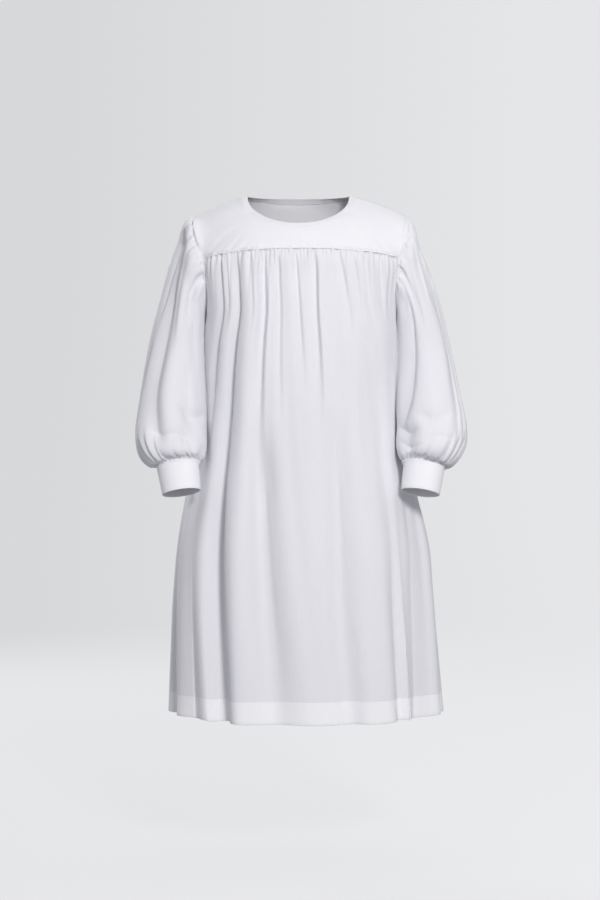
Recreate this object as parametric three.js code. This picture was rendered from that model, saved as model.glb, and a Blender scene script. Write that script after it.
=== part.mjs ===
/**
 * A rochet: a plain white vestment with a yoke over the shoulders, a full body gathered
 * into the yoke, a deep hem, and bishop sleeves gathered into plain cuffs.
 *
 * Millimetres, +Z up. The wearer faces -Y and the wearer's left arm is on +X. The origin lies
 * midway between the shoulders, level with the neck points, where the garment is carried.
 *
 * Every piece of cloth is a wall: an outer skin, and the same skin set in by the cloth's
 * thickness along the normal of the smooth form, so that gathers never make it cross itself.
 */
import * as THREE from 'three';

const { Vector2, Vector3, MathUtils } = THREE;

/* ---------------------------------------------------------------- driving dimensions */

const SEAM_GAP = 0.3;
const SINGLE_CLOTH = 1.7;
const DOUBLE_CLOTH = 2.6;

const SHOULDER_TIP = { x: 238, z: -47 };
const UNDERARM_Z = -265;

/** Hem: the turned-up band at the foot of both panels, a little higher at the side seams. */
const HEM = { seamZ: -1105, bottomZ: -1160, sideRise: 5, step: 1.2 };

/** Neckline: an oval, low in front, finished with a band that lies on the yoke's own form. */
const NECK = {
  centreX: -6,
  halfWidth: 115,
  bandWidth: 14,
  front: { reach: 96, drop: 72 },
  back: { reach: 80, drop: -4 },
};

/** Yoke seam: height at the centre and at the corners, and the corner's station on the body. */
const YOKE = {
  front: { centreZ: -131, cornerZ: -148, cornerStation: 0.73 },
  back: { centreZ: -120, cornerZ: -136, cornerStation: 0.73 },
  cornerShare: 0.6,
};

/** Cuff: an oval tube that leans inwards and forwards. */
const CUFF = {
  top: { x: 270, y: -106, z: -606, halfWidth: 45.5, halfDepth: 39 },
  bottom: { x: 261, y: -121, z: -664, halfWidth: 43, halfDepth: 37 },
  sleeveEnd: 5,
};

/** How finely each form is stepped, and how many gathers each edge takes in. */
const STEPS = {
  quarterCurve: 48,
  panelGathers: 36,
  armholeArc: 8,
  yokeEdge: 12,
  yokeSeam: 12,
  yokeRows: 4,
};

const WHITE = { color: 0xf1f1f5, roughness: 0.82, metalness: 0 };

/* ---------------------------------------------------------------- tables */

const table = (columns, ...rows) =>
  rows.map((row) => Object.fromEntries(columns.map((column, i) => [column, row[i]])));

/**
 * Horizontal sections of the body. sideY is where the section is widest, front and back are
 * its reach from the origin, and squareness is the exponent of the rounded oval.
 */
const BODY = table(
  ['z', 'halfWidth', 'shiftX', 'sideY', 'front', 'back', 'squareness'],
  [-110, 230, 0, 0, 131, 115, 4.0],
  [-150, 223, 0, 0, 137, 120, 3.8],
  [-205, 216, 0, 2, 143, 126, 3.5],
  [-265, 209, 0, 6, 147, 129, 3.2],
  [-335, 214, 0, 28, 150, 132, 3.0],
  [-400, 219, 0, 44, 153, 136, 2.75],
  [-460, 224, 0, 52, 156, 140, 2.55],
  [-570, 238, 0, 58, 163, 150, 2.4],
  [-655, 256, 1, 50, 171, 161, 2.4],
  [-785, 281, 2, 32, 185, 178, 2.4],
  [-887, 291, 3, 22, 194, 189, 2.35],
  [-1003, 299, 6, 15, 203, 200, 2.3],
  [-1160, 308, 10, 10, 212, 212, 2.3],
);

/**
 * Largest folds. A station runs round the body: 0 at the centre front, 1 and -1 at the side
 * seams, 2 and -2 at the centre back. Each fold has its station and its height (below zero
 * for a hollow) at the yoke, at the waist and at the hem, and a half-width to either side.
 */
const FOLD_LEVELS = { yoke: -150, waist: -600, hem: -1160 };
const FOLDS = table(
  ['yokeAt', 'waistAt', 'hemAt', 'yoke', 'waist', 'hem', 'toLeft', 'toRight'],
  // front, from the wearer's right to the left
  [-0.9, -0.7, -0.64, -4, -9, -26, 0.06, 0.1],
  [-0.58, -0.64, -0.51, -4, -3, 8, 0.06, 0.06],
  [-0.445, -0.48, -0.42, -6, -13, -30, 0.035, 0.06],
  [-0.34, -0.37, -0.33, 4, 9, 13, 0.08, 0.05],
  [-0.25, -0.235, -0.145, -4, -8, -7, 0.06, 0.05],
  [-0.2, -0.15, 0.02, 2, 5, 7, 0.1, 0.1],
  [-0.15, -0.06, 0.08, -3, -3, 0, 0.04, 0.04],
  [0.26, 0.2, 0.23, -2, -3, -12, 0.05, 0.05],
  [0.44, 0.36, 0.36, 0, 3, 9, 0.1, 0.1],
  [0.56, 0.5, 0.52, -2, -4, -24, 0.04, 0.045],
  [0.66, 0.57, 0.56, 0, 2, 10, 0.03, 0.04],
  [0.9, 0.7, 0.64, -4, -9, -24, 0.1, 0.05],
  // wearer's left side, back, wearer's right side
  [0.95, 0.9, 0.86, 0, -2, -22, 0.05, 0.05],
  [1.14, 1.14, 1.14, 0, -4, -24, 0.07, 0.07],
  [1.36, 1.37, 1.38, -4, -9, -28, 0.07, 0.06],
  [1.58, 1.6, 1.63, -4, -7, -17, 0.07, 0.07],
  [1.76, 1.79, 1.82, -5, -9, -26, 0.06, 0.08],
  [2.0, 1.99, 1.97, -3, -5, -14, 0.07, 0.07],
  [-1.8, -1.82, -1.84, -5, -9, -27, 0.08, 0.06],
  [-1.6, -1.62, -1.62, -4, -6, -15, 0.06, 0.07],
  [-1.38, -1.38, -1.4, -4, -8, -30, 0.07, 0.07],
  [-1.15, -1.15, -1.15, 0, -4, -22, 0.06, 0.07],
  [-0.95, -0.9, -0.84, 0, -2, -20, 0.05, 0.05]
);

/** Height of the gathers under the yoke, by distance below the seam. */
const PANEL_GATHERS = table(['below', 'height'], [0, 1.9], [14, 2.2], [45, 1.5], [95, 0.8], [150, 0]);

/** Rows of a panel: share of the way from its top edge to the hem's seam. */
const GATHERED_ROWS = [0, 0.013, 0.034, 0.065, 0.105];
const PLAIN_ROWS = [0.16, 0.22, 0.29, 0.365, 0.44, 0.515, 0.59, 0.67, 0.75, 0.835, 0.92];

/** Height of the yoke's form over a straight line from neck to edge. */
const CROWN = {
  front: table(['share', 'height'], [0, 3], [0.3, 10], [0.6, 20], [0.8, 15], [1, 4]),
  back: table(['share', 'height'], [0, 10], [0.3, 16], [0.6, 24], [0.8, 17], [1, 4]),
};

/** Waypoints of the armhole between the yoke's corner and the tip of the shoulder. */
const ARMHOLE_EDGE = {
  front: [new Vector3(233, -68, -96), new Vector3(240, -38, -62)],
  back: [new Vector3(233, 70, -92), new Vector3(240, 38, -61)],
};

/**
 * Rings of a sleeve, from the armhole to just above the cuff: the outermost and innermost
 * points, the ring's own place in depth, and the share of the armhole's shape still in it.
 */
const SLEEVE_COLUMNS = [
  ...['leftX', 'rightX', 'outerZ', 'innerX', 'innerZ'],
  ...['centreY', 'halfDepth', 'tilt', 'armhole', 'gather'],
];
const SLEEVE = table(
  SLEEVE_COLUMNS,
  [238, 238, -47, 209, -265, 0, 88, 0, 1.0, 0.8],
  [246, 255, -56, 210, -267, -1, 88.5, 0, 0.88, 1.9],
  [260, 275, -82, 212, -273, -2, 88, 0, 0.6, 2.1],
  [285, 299, -149, 213.5, -291, -3, 85, 0, 0.28, 1.3],
  [310, 319, -234, 216, -324, -5, 80, 0, 0.08, 0.5],
  [335, 342, -335, 217, -385, -12, 77, 1, 0, 0],
  [352, 357, -425, 215, -452, -35, 79, 5, 0, 0],
  [367, 367, -504, 213, -517, -60, 84, 10, 0, 0.5],
  [371, 369, -552, 211, -556, -79, 86, 13, 0, 1.0],
  [361, 361, -583, 212, -574, -92, 82, 15, 0, 1.8],
  [346, 347, -603, 215, -586, -101, 72, 15, 0, 2.3],
  [330, 330, -613, 221, -591, -105, 57, 13, 0, 1.6],
);
/** Angle of the yoke's corner on a sleeve ring: 0 at the shoulder, 180 under the arm. */
const CORNER_ANGLE = { front: 82, back: 82 };
/** Gathers of the sleeve head stop at this many steps below each corner. */
const HEAD_GATHERS_BELOW_CORNER = 3;

/** Smooth value of a column where the key column reaches the given place. */
function along(rows, key, place, column) {
  const last = rows.length - 1;
  const direction = Math.sign(rows[last][key] - rows[0][key]);
  let i = 0;
  while (i < last - 1 && direction * (place - rows[i + 1][key]) > 0) i += 1;
  const slope = (a, b) => (b[column] - a[column]) / (b[key] - a[key]);
  const here = slope(rows[i], rows[i + 1]);
  const before = i > 0 ? (slope(rows[i - 1], rows[i]) + here) / 2 : here;
  const after = i < last - 1 ? (slope(rows[i + 1], rows[i + 2]) + here) / 2 : here;
  const span = rows[i + 1][key] - rows[i][key];
  const t = MathUtils.clamp((place - rows[i][key]) / span, 0, 1);
  const rise = rows[i + 1][column] - rows[i][column];
  const bend = t * (1 - t) * ((before * span - rise) * (1 - t) - (after * span - rise) * t);
  return rows[i][column] + rise * t + bend;
}

const range = (count) => Array.from({ length: count + 1 }, (_, i) => i / count);
const zigzag = (index) => (index % 2 === 0 ? 1 : -1);

/* ---------------------------------------------------------------- the body's form */

const quarterCurves = new Map();

/** A quarter of the section at height z, from the centre line to the side seam. */
function quarterCurve(z, half) {
  const key = `${half} ${z}`;
  if (!quarterCurves.has(key)) {
    const [halfWidth, sideY, reach, power] = ['halfWidth', 'sideY', half, 'squareness'].map(
      (column) => along(BODY, 'z', z, column),
    );
    const facing = half === 'front' ? -1 : 1;
    const depth = reach - facing * sideY;
    const points = range(STEPS.quarterCurve).map((share) => {
      const across = Math.sin((share * Math.PI) / 2);
      const deep = Math.cos((share * Math.PI) / 2);
      const size = ((across / halfWidth) ** power + (deep / depth) ** power) ** (-1 / power);
      return new Vector2(size * across, sideY + facing * size * deep);
    });
    const lengths = [0];
    for (let i = 1; i < points.length; i += 1) {
      lengths.push(lengths[i - 1] + points[i].distanceTo(points[i - 1]));
    }
    quarterCurves.set(key, { points, lengths });
  }
  return quarterCurves.get(key);
}

/** Point of the smooth body at a station and height. */
function bodyPoint(station, z) {
  const round = MathUtils.euclideanModulo(station + 2, 4) - 2;
  const half = Math.abs(round) > 1 ? 'back' : 'front';
  const share = half === 'back' ? 2 - Math.abs(round) : Math.abs(round);
  const { points, lengths } = quarterCurve(z, half);
  const wanted = share * lengths[lengths.length - 1];
  let i = 1;
  while (i < lengths.length - 1 && lengths[i] < wanted) i += 1;
  const t = (wanted - lengths[i - 1]) / (lengths[i] - lengths[i - 1]);
  const flat = points[i - 1].clone().lerp(points[i], t);
  return new Vector3(Math.sign(round) * flat.x + along(BODY, 'z', z, 'shiftX'), flat.y, z);
}

/** Horizontal direction out of a form at a station and height. */
function outwards(form, station, z) {
  const step = 0.012;
  const run = form(station + step, z).sub(form(station - step, z));
  return new Vector3(run.y, -run.x, 0).normalize();
}

/** A fold's station or height at z, in two straight runs between its three levels. */
function foldAt(fold, columns, z) {
  const { yoke, waist, hem } = FOLD_LEVELS;
  const [atYoke, atWaist, atHem] = columns.map((column) => fold[column]);
  if (z > waist) return MathUtils.lerp(atWaist, atYoke, (z - waist) / (yoke - waist));
  return MathUtils.lerp(atWaist, atHem, (z - waist) / (hem - waist));
}

/** Height of all large folds over the smooth body. */
function foldHeight(station, z) {
  let height = 0;
  for (const fold of FOLDS) {
    const at = foldAt(fold, ['yokeAt', 'waistAt', 'hemAt'], z);
    const off = MathUtils.euclideanModulo(station - at + 2, 4) - 2;
    const width = off > 0 ? fold.toLeft : fold.toRight;
    height += foldAt(fold, ['yoke', 'waist', 'hem'], z) * Math.exp(-((off / width) ** 2));
  }
  return height;
}

/** Point of the folded body. */
function foldedPoint(station, z) {
  return bodyPoint(station, z).addScaledVector(outwards(bodyPoint, station, z), foldHeight(station, z));
}

/* ---------------------------------------------------------------- edges the pieces share */

/** Height of the yoke seam at a station measured from its own centre line. */
function yokeSeamZ(half, station) {
  const { centreZ, cornerZ, cornerStation } = YOKE[half];
  return MathUtils.lerp(centreZ, cornerZ, (Math.abs(station) / cornerStation) ** 2);
}

/** Lower armhole between yoke corner (turn 0) and underarm (turn 1), as station and height. */
function armholeArc(half, turn) {
  const { cornerZ, cornerStation } = YOKE[half];
  const angle = (turn * Math.PI) / 2;
  return {
    station: cornerStation + (1 - cornerStation) * (1 - Math.cos(angle)),
    z: MathUtils.lerp(cornerZ, UNDERARM_Z, Math.sin(angle)),
  };
}

/**
 * Station round the whole body, from a station measured off the half's own centre line
 * towards a side: 1 for the wearer's left, -1 for the right.
 */
const roundStation = (half, side, station) => side * (half === 'front' ? station : 2 - station);

/** Point of the folded body on one side of one half. */
const halfPoint = (half, side, station, z) => foldedPoint(roundStation(half, side, station), z);

const toSide = (side) => (point) => new Vector3(side * point.x, point.y, point.z);

/** Upper armhole of one side, from the yoke's corner to the tip of the shoulder. */
function armholeEdge(half, side) {
  const { cornerStation, cornerZ } = YOKE[half];
  const tip = new Vector3(SHOULDER_TIP.x, 0, SHOULDER_TIP.z);
  const above = [...ARMHOLE_EDGE[half], tip].map(toSide(side));
  return new THREE.CatmullRomCurve3([halfPoint(half, side, cornerStation, cornerZ), ...above]);
}

const SIDES = { left: 1, right: -1 };
const armholeEdges = {};
for (const half of ['front', 'back']) {
  for (const side of Object.values(SIDES)) armholeEdges[half + side] = armholeEdge(half, side);
}

/** Armhole of one side, as a loop from the shoulder round the front. */
function armholeLoop(side) {
  const edge = (half) =>
    range(STEPS.yokeEdge).map((t) => armholeEdges[half + side].getPoint(1 - t));
  const arc = (half) =>
    range(STEPS.armholeArc).map((turn) => {
      const { station, z } = armholeArc(half, turn);
      return halfPoint(half, side, station, z);
    });
  return [
    ...edge('front').slice(0, -1),
    ...arc('front').slice(0, -1),
    ...arc('back').reverse().slice(0, -1),
    ...edge('back').reverse().slice(0, -1),
  ];
}

/** Angles of the same loop's columns on a sleeve ring, in degrees. */
function armholeAngles() {
  const upper = (half) => range(STEPS.yokeEdge).map((t) => t * CORNER_ANGLE[half]);
  const lower = (half) =>
    range(STEPS.armholeArc).map((t) => MathUtils.lerp(CORNER_ANGLE[half], 180, t));
  const mirrored = (angles) => angles.reverse().map((angle) => 360 - angle);
  return [
    ...upper('front').slice(0, -1),
    ...lower('front').slice(0, -1),
    ...mirrored(lower('back')).slice(0, -1),
    ...mirrored(upper('back')).slice(0, -1),
  ];
}

/* ---------------------------------------------------------------- walls */

/** Triangles between two rows, whose columns need not be equally many. */
function stitchRows(upper, lower, closed, addTriangle) {
  const end = (row) => (closed ? row.at.length : row.at.length - 1);
  const place = (row, i) => (i < row.at.length ? row.at[i] : row.at[0] + row.period);
  const vertex = (row, i) => row.first + (i % row.at.length);
  let [i, j] = [0, 0];
  while (i < end(upper) || j < end(lower)) {
    const upperNext = i < end(upper) ? place(upper, i + 1) : Infinity;
    const lowerNext = j < end(lower) ? place(lower, j + 1) : Infinity;
    if (lowerNext <= upperNext) {
      addTriangle(vertex(upper, i), vertex(lower, j), vertex(lower, j + 1));
      j += 1;
    } else {
      addTriangle(vertex(upper, i), vertex(lower, j), vertex(upper, i + 1));
      i += 1;
    }
  }
}

/**
 * A closed solid from rows of { at, outer, inner }. Each row's columns stand at the places in
 * at, and period is the full turn of a closed row.
 */
function wallGeometry(rows, { closed = false, period = 0 } = {}) {
  const positions = [];
  const indices = [];
  const store = (points, at) => {
    const first = positions.length / 3;
    points.forEach((point) => positions.push(point.x, point.y, point.z));
    return { first, at, period };
  };
  const outer = rows.map((row) => store(row.outer, row.at));
  const inner = rows.map((row) => store(row.inner, row.at));
  const face = (a, b, c) => indices.push(a, b, c);
  const backFace = (a, b, c) => indices.push(a, c, b);
  const last = rows.length - 1;
  for (let i = 0; i < last; i += 1) {
    stitchRows(outer[i], outer[i + 1], closed, face);
    stitchRows(inner[i], inner[i + 1], closed, backFace);
  }
  stitchRows(outer[0], inner[0], closed, backFace);
  stitchRows(outer[last], inner[last], closed, face);
  if (!closed) {
    for (let i = 0; i < last; i += 1) {
      const ends = [outer[i], outer[i + 1], inner[i], inner[i + 1]];
      const [a, b, c, d] = ends.map((row) => row.first);
      indices.push(a, c, b, c, d, b);
      const [e, f, g, h] = ends.map((row) => row.first + row.at.length - 1);
      indices.push(e, f, g, g, f, h);
    }
  }
  const geometry = new THREE.BufferGeometry();
  geometry.setAttribute('position', new THREE.Float32BufferAttribute(positions, 3));
  geometry.setIndex(facingOut(positions, indices));
  geometry.computeVertexNormals();
  return geometry;
}

/** The same triangles, turned over if they enclose a negative volume. */
function facingOut(positions, indices) {
  const corner = (i) => new Vector3().fromArray(positions, 3 * i);
  let volume = 0;
  for (let i = 0; i < indices.length; i += 3) {
    const [a, b, c] = [corner(indices[i]), corner(indices[i + 1]), corner(indices[i + 2])];
    volume += a.dot(b.cross(c));
  }
  return volume > 0 ? indices : indices.slice().reverse();
}

/** A wall from a grid of points of the smooth form, with the gathers' height at each point. */
function wallFromGrid({ grid, at, normals, gathers, thickness }) {
  return grid.map((points, row) => ({
    at,
    outer: points.map((p, i) => p.clone().addScaledVector(normals[row][i], gathers[row][i])),
    inner: points.map((p, i) =>
      p.clone().addScaledVector(normals[row][i], gathers[row][i] - thickness),
    ),
  }));
}

/** Normals of a closed grid of points, from the differences of its neighbours. */
function gridNormals(grid, flip) {
  const columns = grid[0].length;
  return grid.map((points, row) =>
    points.map((_, i) => {
      const across = points[(i + 1) % columns].clone().sub(points[(i + columns - 1) % columns]);
      const below = grid[Math.min(row + 1, grid.length - 1)][i];
      const down = below.clone().sub(grid[Math.max(row - 1, 0)][i]);
      return down.cross(across).normalize().multiplyScalar(flip);
    }),
  );
}

/* ---------------------------------------------------------------- panels */

/** Columns of a panel across its top edge: station, height of the edge, and gather or none. */
function panelColumns(half) {
  const arc = range(STEPS.armholeArc).map((turn) => ({ ...armholeArc(half, turn), gather: 0 }));
  const seamSteps = 2 * STEPS.panelGathers;
  const { cornerStation } = YOKE[half];
  const seam = range(seamSteps).map((share, i) => {
    const station = cornerStation * (2 * share - 1);
    const atCorner = i === 0 || i === seamSteps;
    return { station, z: yokeSeamZ(half, station), gather: atCorner ? 0 : zigzag(i) };
  });
  const rightArc = arc.slice(1);
  const leftArc = rightArc.map((column) => ({ ...column, station: -column.station })).reverse();
  return [...leftArc, ...seam, ...rightArc];
}

/** Hem height at a station: level in front and behind, a little higher at the sides. */
const hemBottomZ = (station) =>
  HEM.bottomZ + (HEM.sideRise * (1 - Math.cos(station * Math.PI))) / 2;

/** A point of a panel's wall, set back from the side seam by half the seam's gap. */
function panelVertex(half, column, z, gather, thickness) {
  const turn = half === 'front' ? 1 : -1;
  const station = roundStation(half, 1, column.station);
  const normal = outwards(foldedPoint, station, z);
  const sideways = new Vector3(-normal.y, normal.x, 0);
  const point = foldedPoint(station, z).addScaledVector(normal, gather);
  if (Math.abs(column.station) === 1) {
    point.addScaledVector(sideways, (-Math.sign(column.station) * turn * SEAM_GAP) / 2);
  }
  return { outer: point, inner: point.clone().addScaledVector(normal, -thickness) };
}

function panelRow(half, columns, heightOf, gatherOf, thickness) {
  const ends = columns.map((column) =>
    panelVertex(half, column, heightOf(column), gatherOf(column), thickness),
  );
  return {
    at: columns.map((column) => column.station),
    outer: ends.map((end) => end.outer),
    inner: ends.map((end) => end.inner),
  };
}

function panel(half) {
  const columns = panelColumns(half);
  const everyOther = columns.filter((_, i) => i % 2 === 0);
  const topZ = (column) => column.z - SEAM_GAP;
  const rowZ = (share) => (column) => MathUtils.lerp(topZ(column), HEM.seamZ, share);
  const noGather = () => 0;
  const rows = GATHERED_ROWS.map((share) =>
    panelRow(half, columns, rowZ(share), (column) => {
      const below = topZ(column) - rowZ(share)(column);
      return column.gather * along(PANEL_GATHERS, 'below', below, 'height');
    }, SINGLE_CLOTH),
  );
  for (const share of PLAIN_ROWS) {
    rows.push(panelRow(half, everyOther, rowZ(share), noGather, SINGLE_CLOTH));
  }
  const bottomZ = (column) => hemBottomZ(roundStation(half, 1, column.station));
  rows.push(panelRow(half, everyOther, rowZ(1), noGather, SINGLE_CLOTH));
  rows.push(panelRow(half, everyOther, () => HEM.seamZ - HEM.step, noGather, DOUBLE_CLOTH));
  rows.push(panelRow(half, everyOther, bottomZ, noGather, DOUBLE_CLOTH));
  return wallGeometry(rows);
}

/* ---------------------------------------------------------------- yoke and neck band */

/** Neckline of one side: share 0 at the centre line, 1 at the neck point. */
function neckPoint(half, side, share) {
  const angle = (share * Math.PI) / 2;
  const { reach, drop } = NECK[half];
  const facing = half === 'front' ? -1 : 1;
  return new Vector3(
    NECK.centreX + side * NECK.halfWidth * Math.sin(angle),
    facing * reach * Math.cos(angle),
    -drop * Math.cos(angle),
  );
}

/** Outer edge of one side of the yoke: along the seam to the corner, then up the armhole. */
function yokeEdgePoint(half, side, share) {
  if (share > YOKE.cornerShare) {
    const t = (share - YOKE.cornerShare) / (1 - YOKE.cornerShare);
    return armholeEdges[half + side].getPoint(t);
  }
  const station = (YOKE[half].cornerStation * share) / YOKE.cornerShare;
  return halfPoint(half, side, station, yokeSeamZ(half, station));
}

/** Length of the yoke from neck to edge at a share of one side. */
const yokeLength = (half, side, share) =>
  yokeEdgePoint(half, side, share).distanceTo(neckPoint(half, side, share));

/** Point of the yoke at a share of one side and a distance out from the neckline. */
function yokePoint(half, side, share, out) {
  const neck = neckPoint(half, side, share);
  const line = yokeEdgePoint(half, side, share).sub(neck);
  const level = new Vector3(line.x, line.y, 0);
  const up = level.clone().normalize().multiplyScalar(-line.z).setZ(level.length());
  const crown = along(CROWN[half], 'share', share, 'height') * 4 * out * (1 - out);
  return neck.addScaledVector(line, out).addScaledVector(up.normalize(), crown);
}

/** Normal of the yoke. Its slant fades out towards the shoulder, where both halves meet. */
function yokeNormal(half, side, share, out) {
  const step = 0.01;
  const slant = MathUtils.smoothstep(1 - share, 0, 0.35);
  const [low, high] = [Math.max(share - step, 0), Math.min(share + step, 1)];
  const across = yokePoint(half, side, high, out).sub(yokePoint(half, side, low, out));
  const away = yokePoint(half, side, share, out + step).sub(yokePoint(half, side, share, out - step));
  const normal = away.cross(across);
  if (share === 0) normal.setX(0);
  return normal.setY(normal.y * slant).multiplyScalar(Math.sign(normal.z)).normalize();
}

/** Columns of a quarter of the yoke, from the centre line to the shoulder. */
const yokeShares = [
  ...range(STEPS.yokeSeam).map((t) => t * YOKE.cornerShare),
  ...range(STEPS.yokeEdge)
    .slice(1)
    .map((t) => MathUtils.lerp(YOKE.cornerShare, 1, t)),
];

/** Columns of a whole half of the yoke, from the wearer's right shoulder to the left. */
const yokeColumns = [
  ...yokeShares.slice(1).reverse().map((share) => ({ side: SIDES.right, share })),
  ...yokeShares.map((share) => ({ side: SIDES.left, share })),
];

/** Direction of the wall's thickness: at the gathered seam it lies level with the panel's. */
function yokeWallNormal(half, { side, share }, out) {
  const onSeam = out === 1 && share <= YOKE.cornerShare;
  if (!onSeam) return yokeNormal(half, side, share, out);
  const station = (YOKE[half].cornerStation * share) / YOKE.cornerShare;
  return outwards(foldedPoint, roundStation(half, side, station), yokeSeamZ(half, station));
}

/** One vertex row of the yoke or its neck band. */
function yokeRow(half, columns, outOf, thickness) {
  const facing = half === 'front' ? -1 : 1;
  const outer = columns.map(({ side, share }) => {
    const point = yokePoint(half, side, share, outOf(side, share));
    if (share === 1) point.y += (facing * SEAM_GAP) / 2;
    return point;
  });
  const inner = outer.map((point, i) => {
    const { side, share } = columns[i];
    const normal = yokeWallNormal(half, columns[i], outOf(side, share));
    return point.clone().addScaledVector(normal, -thickness);
  });
  return { outer, inner, at: columns.map((_, i) => i) };
}

function yoke(half) {
  const start = (side, share) => (NECK.bandWidth + SEAM_GAP) / yokeLength(half, side, share);
  const rows = range(STEPS.yokeRows).map((out) =>
    yokeRow(
      half,
      yokeColumns,
      (side, share) => (out === 1 ? 1 : MathUtils.lerp(start(side, share), 1, out)),
      SINGLE_CLOTH,
    ),
  );
  return wallGeometry(rows);
}

function neckBand() {
  const rows = [0, NECK.bandWidth].map((width) => {
    const out = (half) => (side, share) => width / yokeLength(half, side, share);
    const front = yokeRow('front', yokeColumns, out('front'), DOUBLE_CLOTH);
    const back = yokeRow('back', yokeColumns.slice().reverse(), out('back'), DOUBLE_CLOTH);
    const outer = [...front.outer, ...back.outer];
    const inner = [...front.inner, ...back.inner];
    return { outer, inner, at: outer.map((_, i) => i) };
  });
  return wallGeometry(rows, { closed: true, period: rows[0].at.length });
}

/* ---------------------------------------------------------------- sleeves and cuffs */

/** Centre, outward and forward half-axes of a sleeve ring. */
function sleeveRing(row, side) {
  const tilt = MathUtils.degToRad(row.tilt);
  const outer = new Vector3(side === SIDES.left ? row.leftX : row.rightX, row.centreY, row.outerZ);
  const inner = new Vector3(row.innerX, row.centreY, row.innerZ);
  return {
    centre: outer.clone().lerp(inner, 0.5),
    wide: outer.clone().sub(inner).multiplyScalar(0.5),
    deep: new Vector3(0, -Math.cos(tilt), Math.sin(tilt)).multiplyScalar(row.halfDepth),
  };
}

const cuffTop = new Vector3(CUFF.top.x, CUFF.top.y, CUFF.top.z);
const cuffBottom = new Vector3(CUFF.bottom.x, CUFF.bottom.y, CUFF.bottom.z);
const cuffAxis = cuffBottom.clone().sub(cuffTop).normalize();

/** A ring across the cuff's axis, at a share of its length and moved along the axis. */
function cuffRing(share, moved) {
  const wide = new Vector3(1, 0, 0).addScaledVector(cuffAxis, -cuffAxis.x).normalize();
  const deep = cuffAxis.clone().cross(wide).normalize();
  const size = (key) => MathUtils.lerp(CUFF.top[key], CUFF.bottom[key], share);
  return {
    centre: cuffTop.clone().lerp(cuffBottom, share).addScaledVector(cuffAxis, moved),
    wide: wide.multiplyScalar(size('halfWidth')),
    deep: deep.multiplyScalar(size('halfDepth')),
  };
}

function ringPoint(ring, degrees) {
  const angle = MathUtils.degToRad(degrees);
  return ring.centre
    .clone()
    .addScaledVector(ring.wide, Math.cos(angle))
    .addScaledVector(ring.deep, Math.sin(angle));
}

const FULL_TURN = { closed: true, period: 360 };

/** Gather of the sleeve head at a column: none under the arm. */
function headGather(column, columns) {
  const gathered = STEPS.yokeEdge + HEAD_GATHERS_BELOW_CORNER;
  return column <= gathered || column >= columns - gathered ? zigzag(column) : 0;
}

/** Points of the sleeve's smooth form on one side, ring by ring from armhole to cuff. */
function sleeveGrid(side, angles) {
  const loop = armholeLoop(side);
  const [first, ...others] = SLEEVE.map((row) => sleeveRing(row, side));
  const ends = [-SEAM_GAP - CUFF.sleeveEnd, -SEAM_GAP].map((moved) => cuffRing(0, moved));
  const grid = [first, ...others, ...ends].map((ring, row) =>
    angles.map((angle, i) => {
      const own = loop[i].clone().sub(toSide(side)(ringPoint(first, angle)));
      const point = toSide(side)(ringPoint(ring, angle));
      return point.addScaledVector(own, SLEEVE[row]?.armhole ?? 0);
    }),
  );
  grid[0].forEach((point) => point.setX(point.x + side * SEAM_GAP));
  return grid;
}

function sleeve(side) {
  const angles = armholeAngles();
  const grid = sleeveGrid(side, angles);
  const normals = gridNormals(grid, -side);
  normals[0].forEach((normal) => normal.setX(0).normalize());
  const lastHeadRow = SLEEVE.findIndex((row) => row.armhole === 0);
  const gathers = grid.map((points, row) =>
    points.map((_, i) => {
      const wave = row < lastHeadRow ? headGather(i, points.length) : zigzag(i);
      return wave * (SLEEVE[row]?.gather ?? 0);
    }),
  );
  const rows = wallFromGrid({ grid, at: angles, normals, gathers, thickness: SINGLE_CLOTH });
  return wallGeometry(rows, FULL_TURN);
}

function cuff(side) {
  const angles = armholeAngles();
  const grid = [0, 1].map((share) =>
    angles.map((angle) => toSide(side)(ringPoint(cuffRing(share, 0), angle))),
  );
  const normals = gridNormals(grid, -side);
  const gathers = grid.map((points) => points.map(() => 0));
  const rows = wallFromGrid({ grid, at: angles, normals, gathers, thickness: DOUBLE_CLOTH });
  return wallGeometry(rows, FULL_TURN);
}

/* ---------------------------------------------------------------- the garment */

const rochet = new THREE.Group();

function addPiece(name, geometry) {
  const mesh = new THREE.Mesh(geometry, new THREE.MeshStandardMaterial(WHITE));
  mesh.name = name;
  rochet.add(mesh);
}

addPiece('neck_band', neckBand());
addPiece('front_yoke', yoke('front'));
addPiece('back_yoke', yoke('back'));
addPiece('front_panel', panel('front'));
addPiece('back_panel', panel('back'));
for (const [wearersSide, side] of Object.entries(SIDES)) {
  addPiece(`${wearersSide}_sleeve`, sleeve(side));
  addPiece(`${wearersSide}_cuff`, cuff(side));
}

export default rochet;
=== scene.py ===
"""A rochet as it is worn: thin white cloth on the hollow form of its CAD solids.

The form (the body's sections, the yoke, the armholes and the sleeves) repeats the CAD part's
own dimensions. On it lie the folds, the gathers, the creases, the hems and the stitching.
Lengths are in millimetres until a mesh is made, and meshes are in metres.
"""
import math
import random

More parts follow.
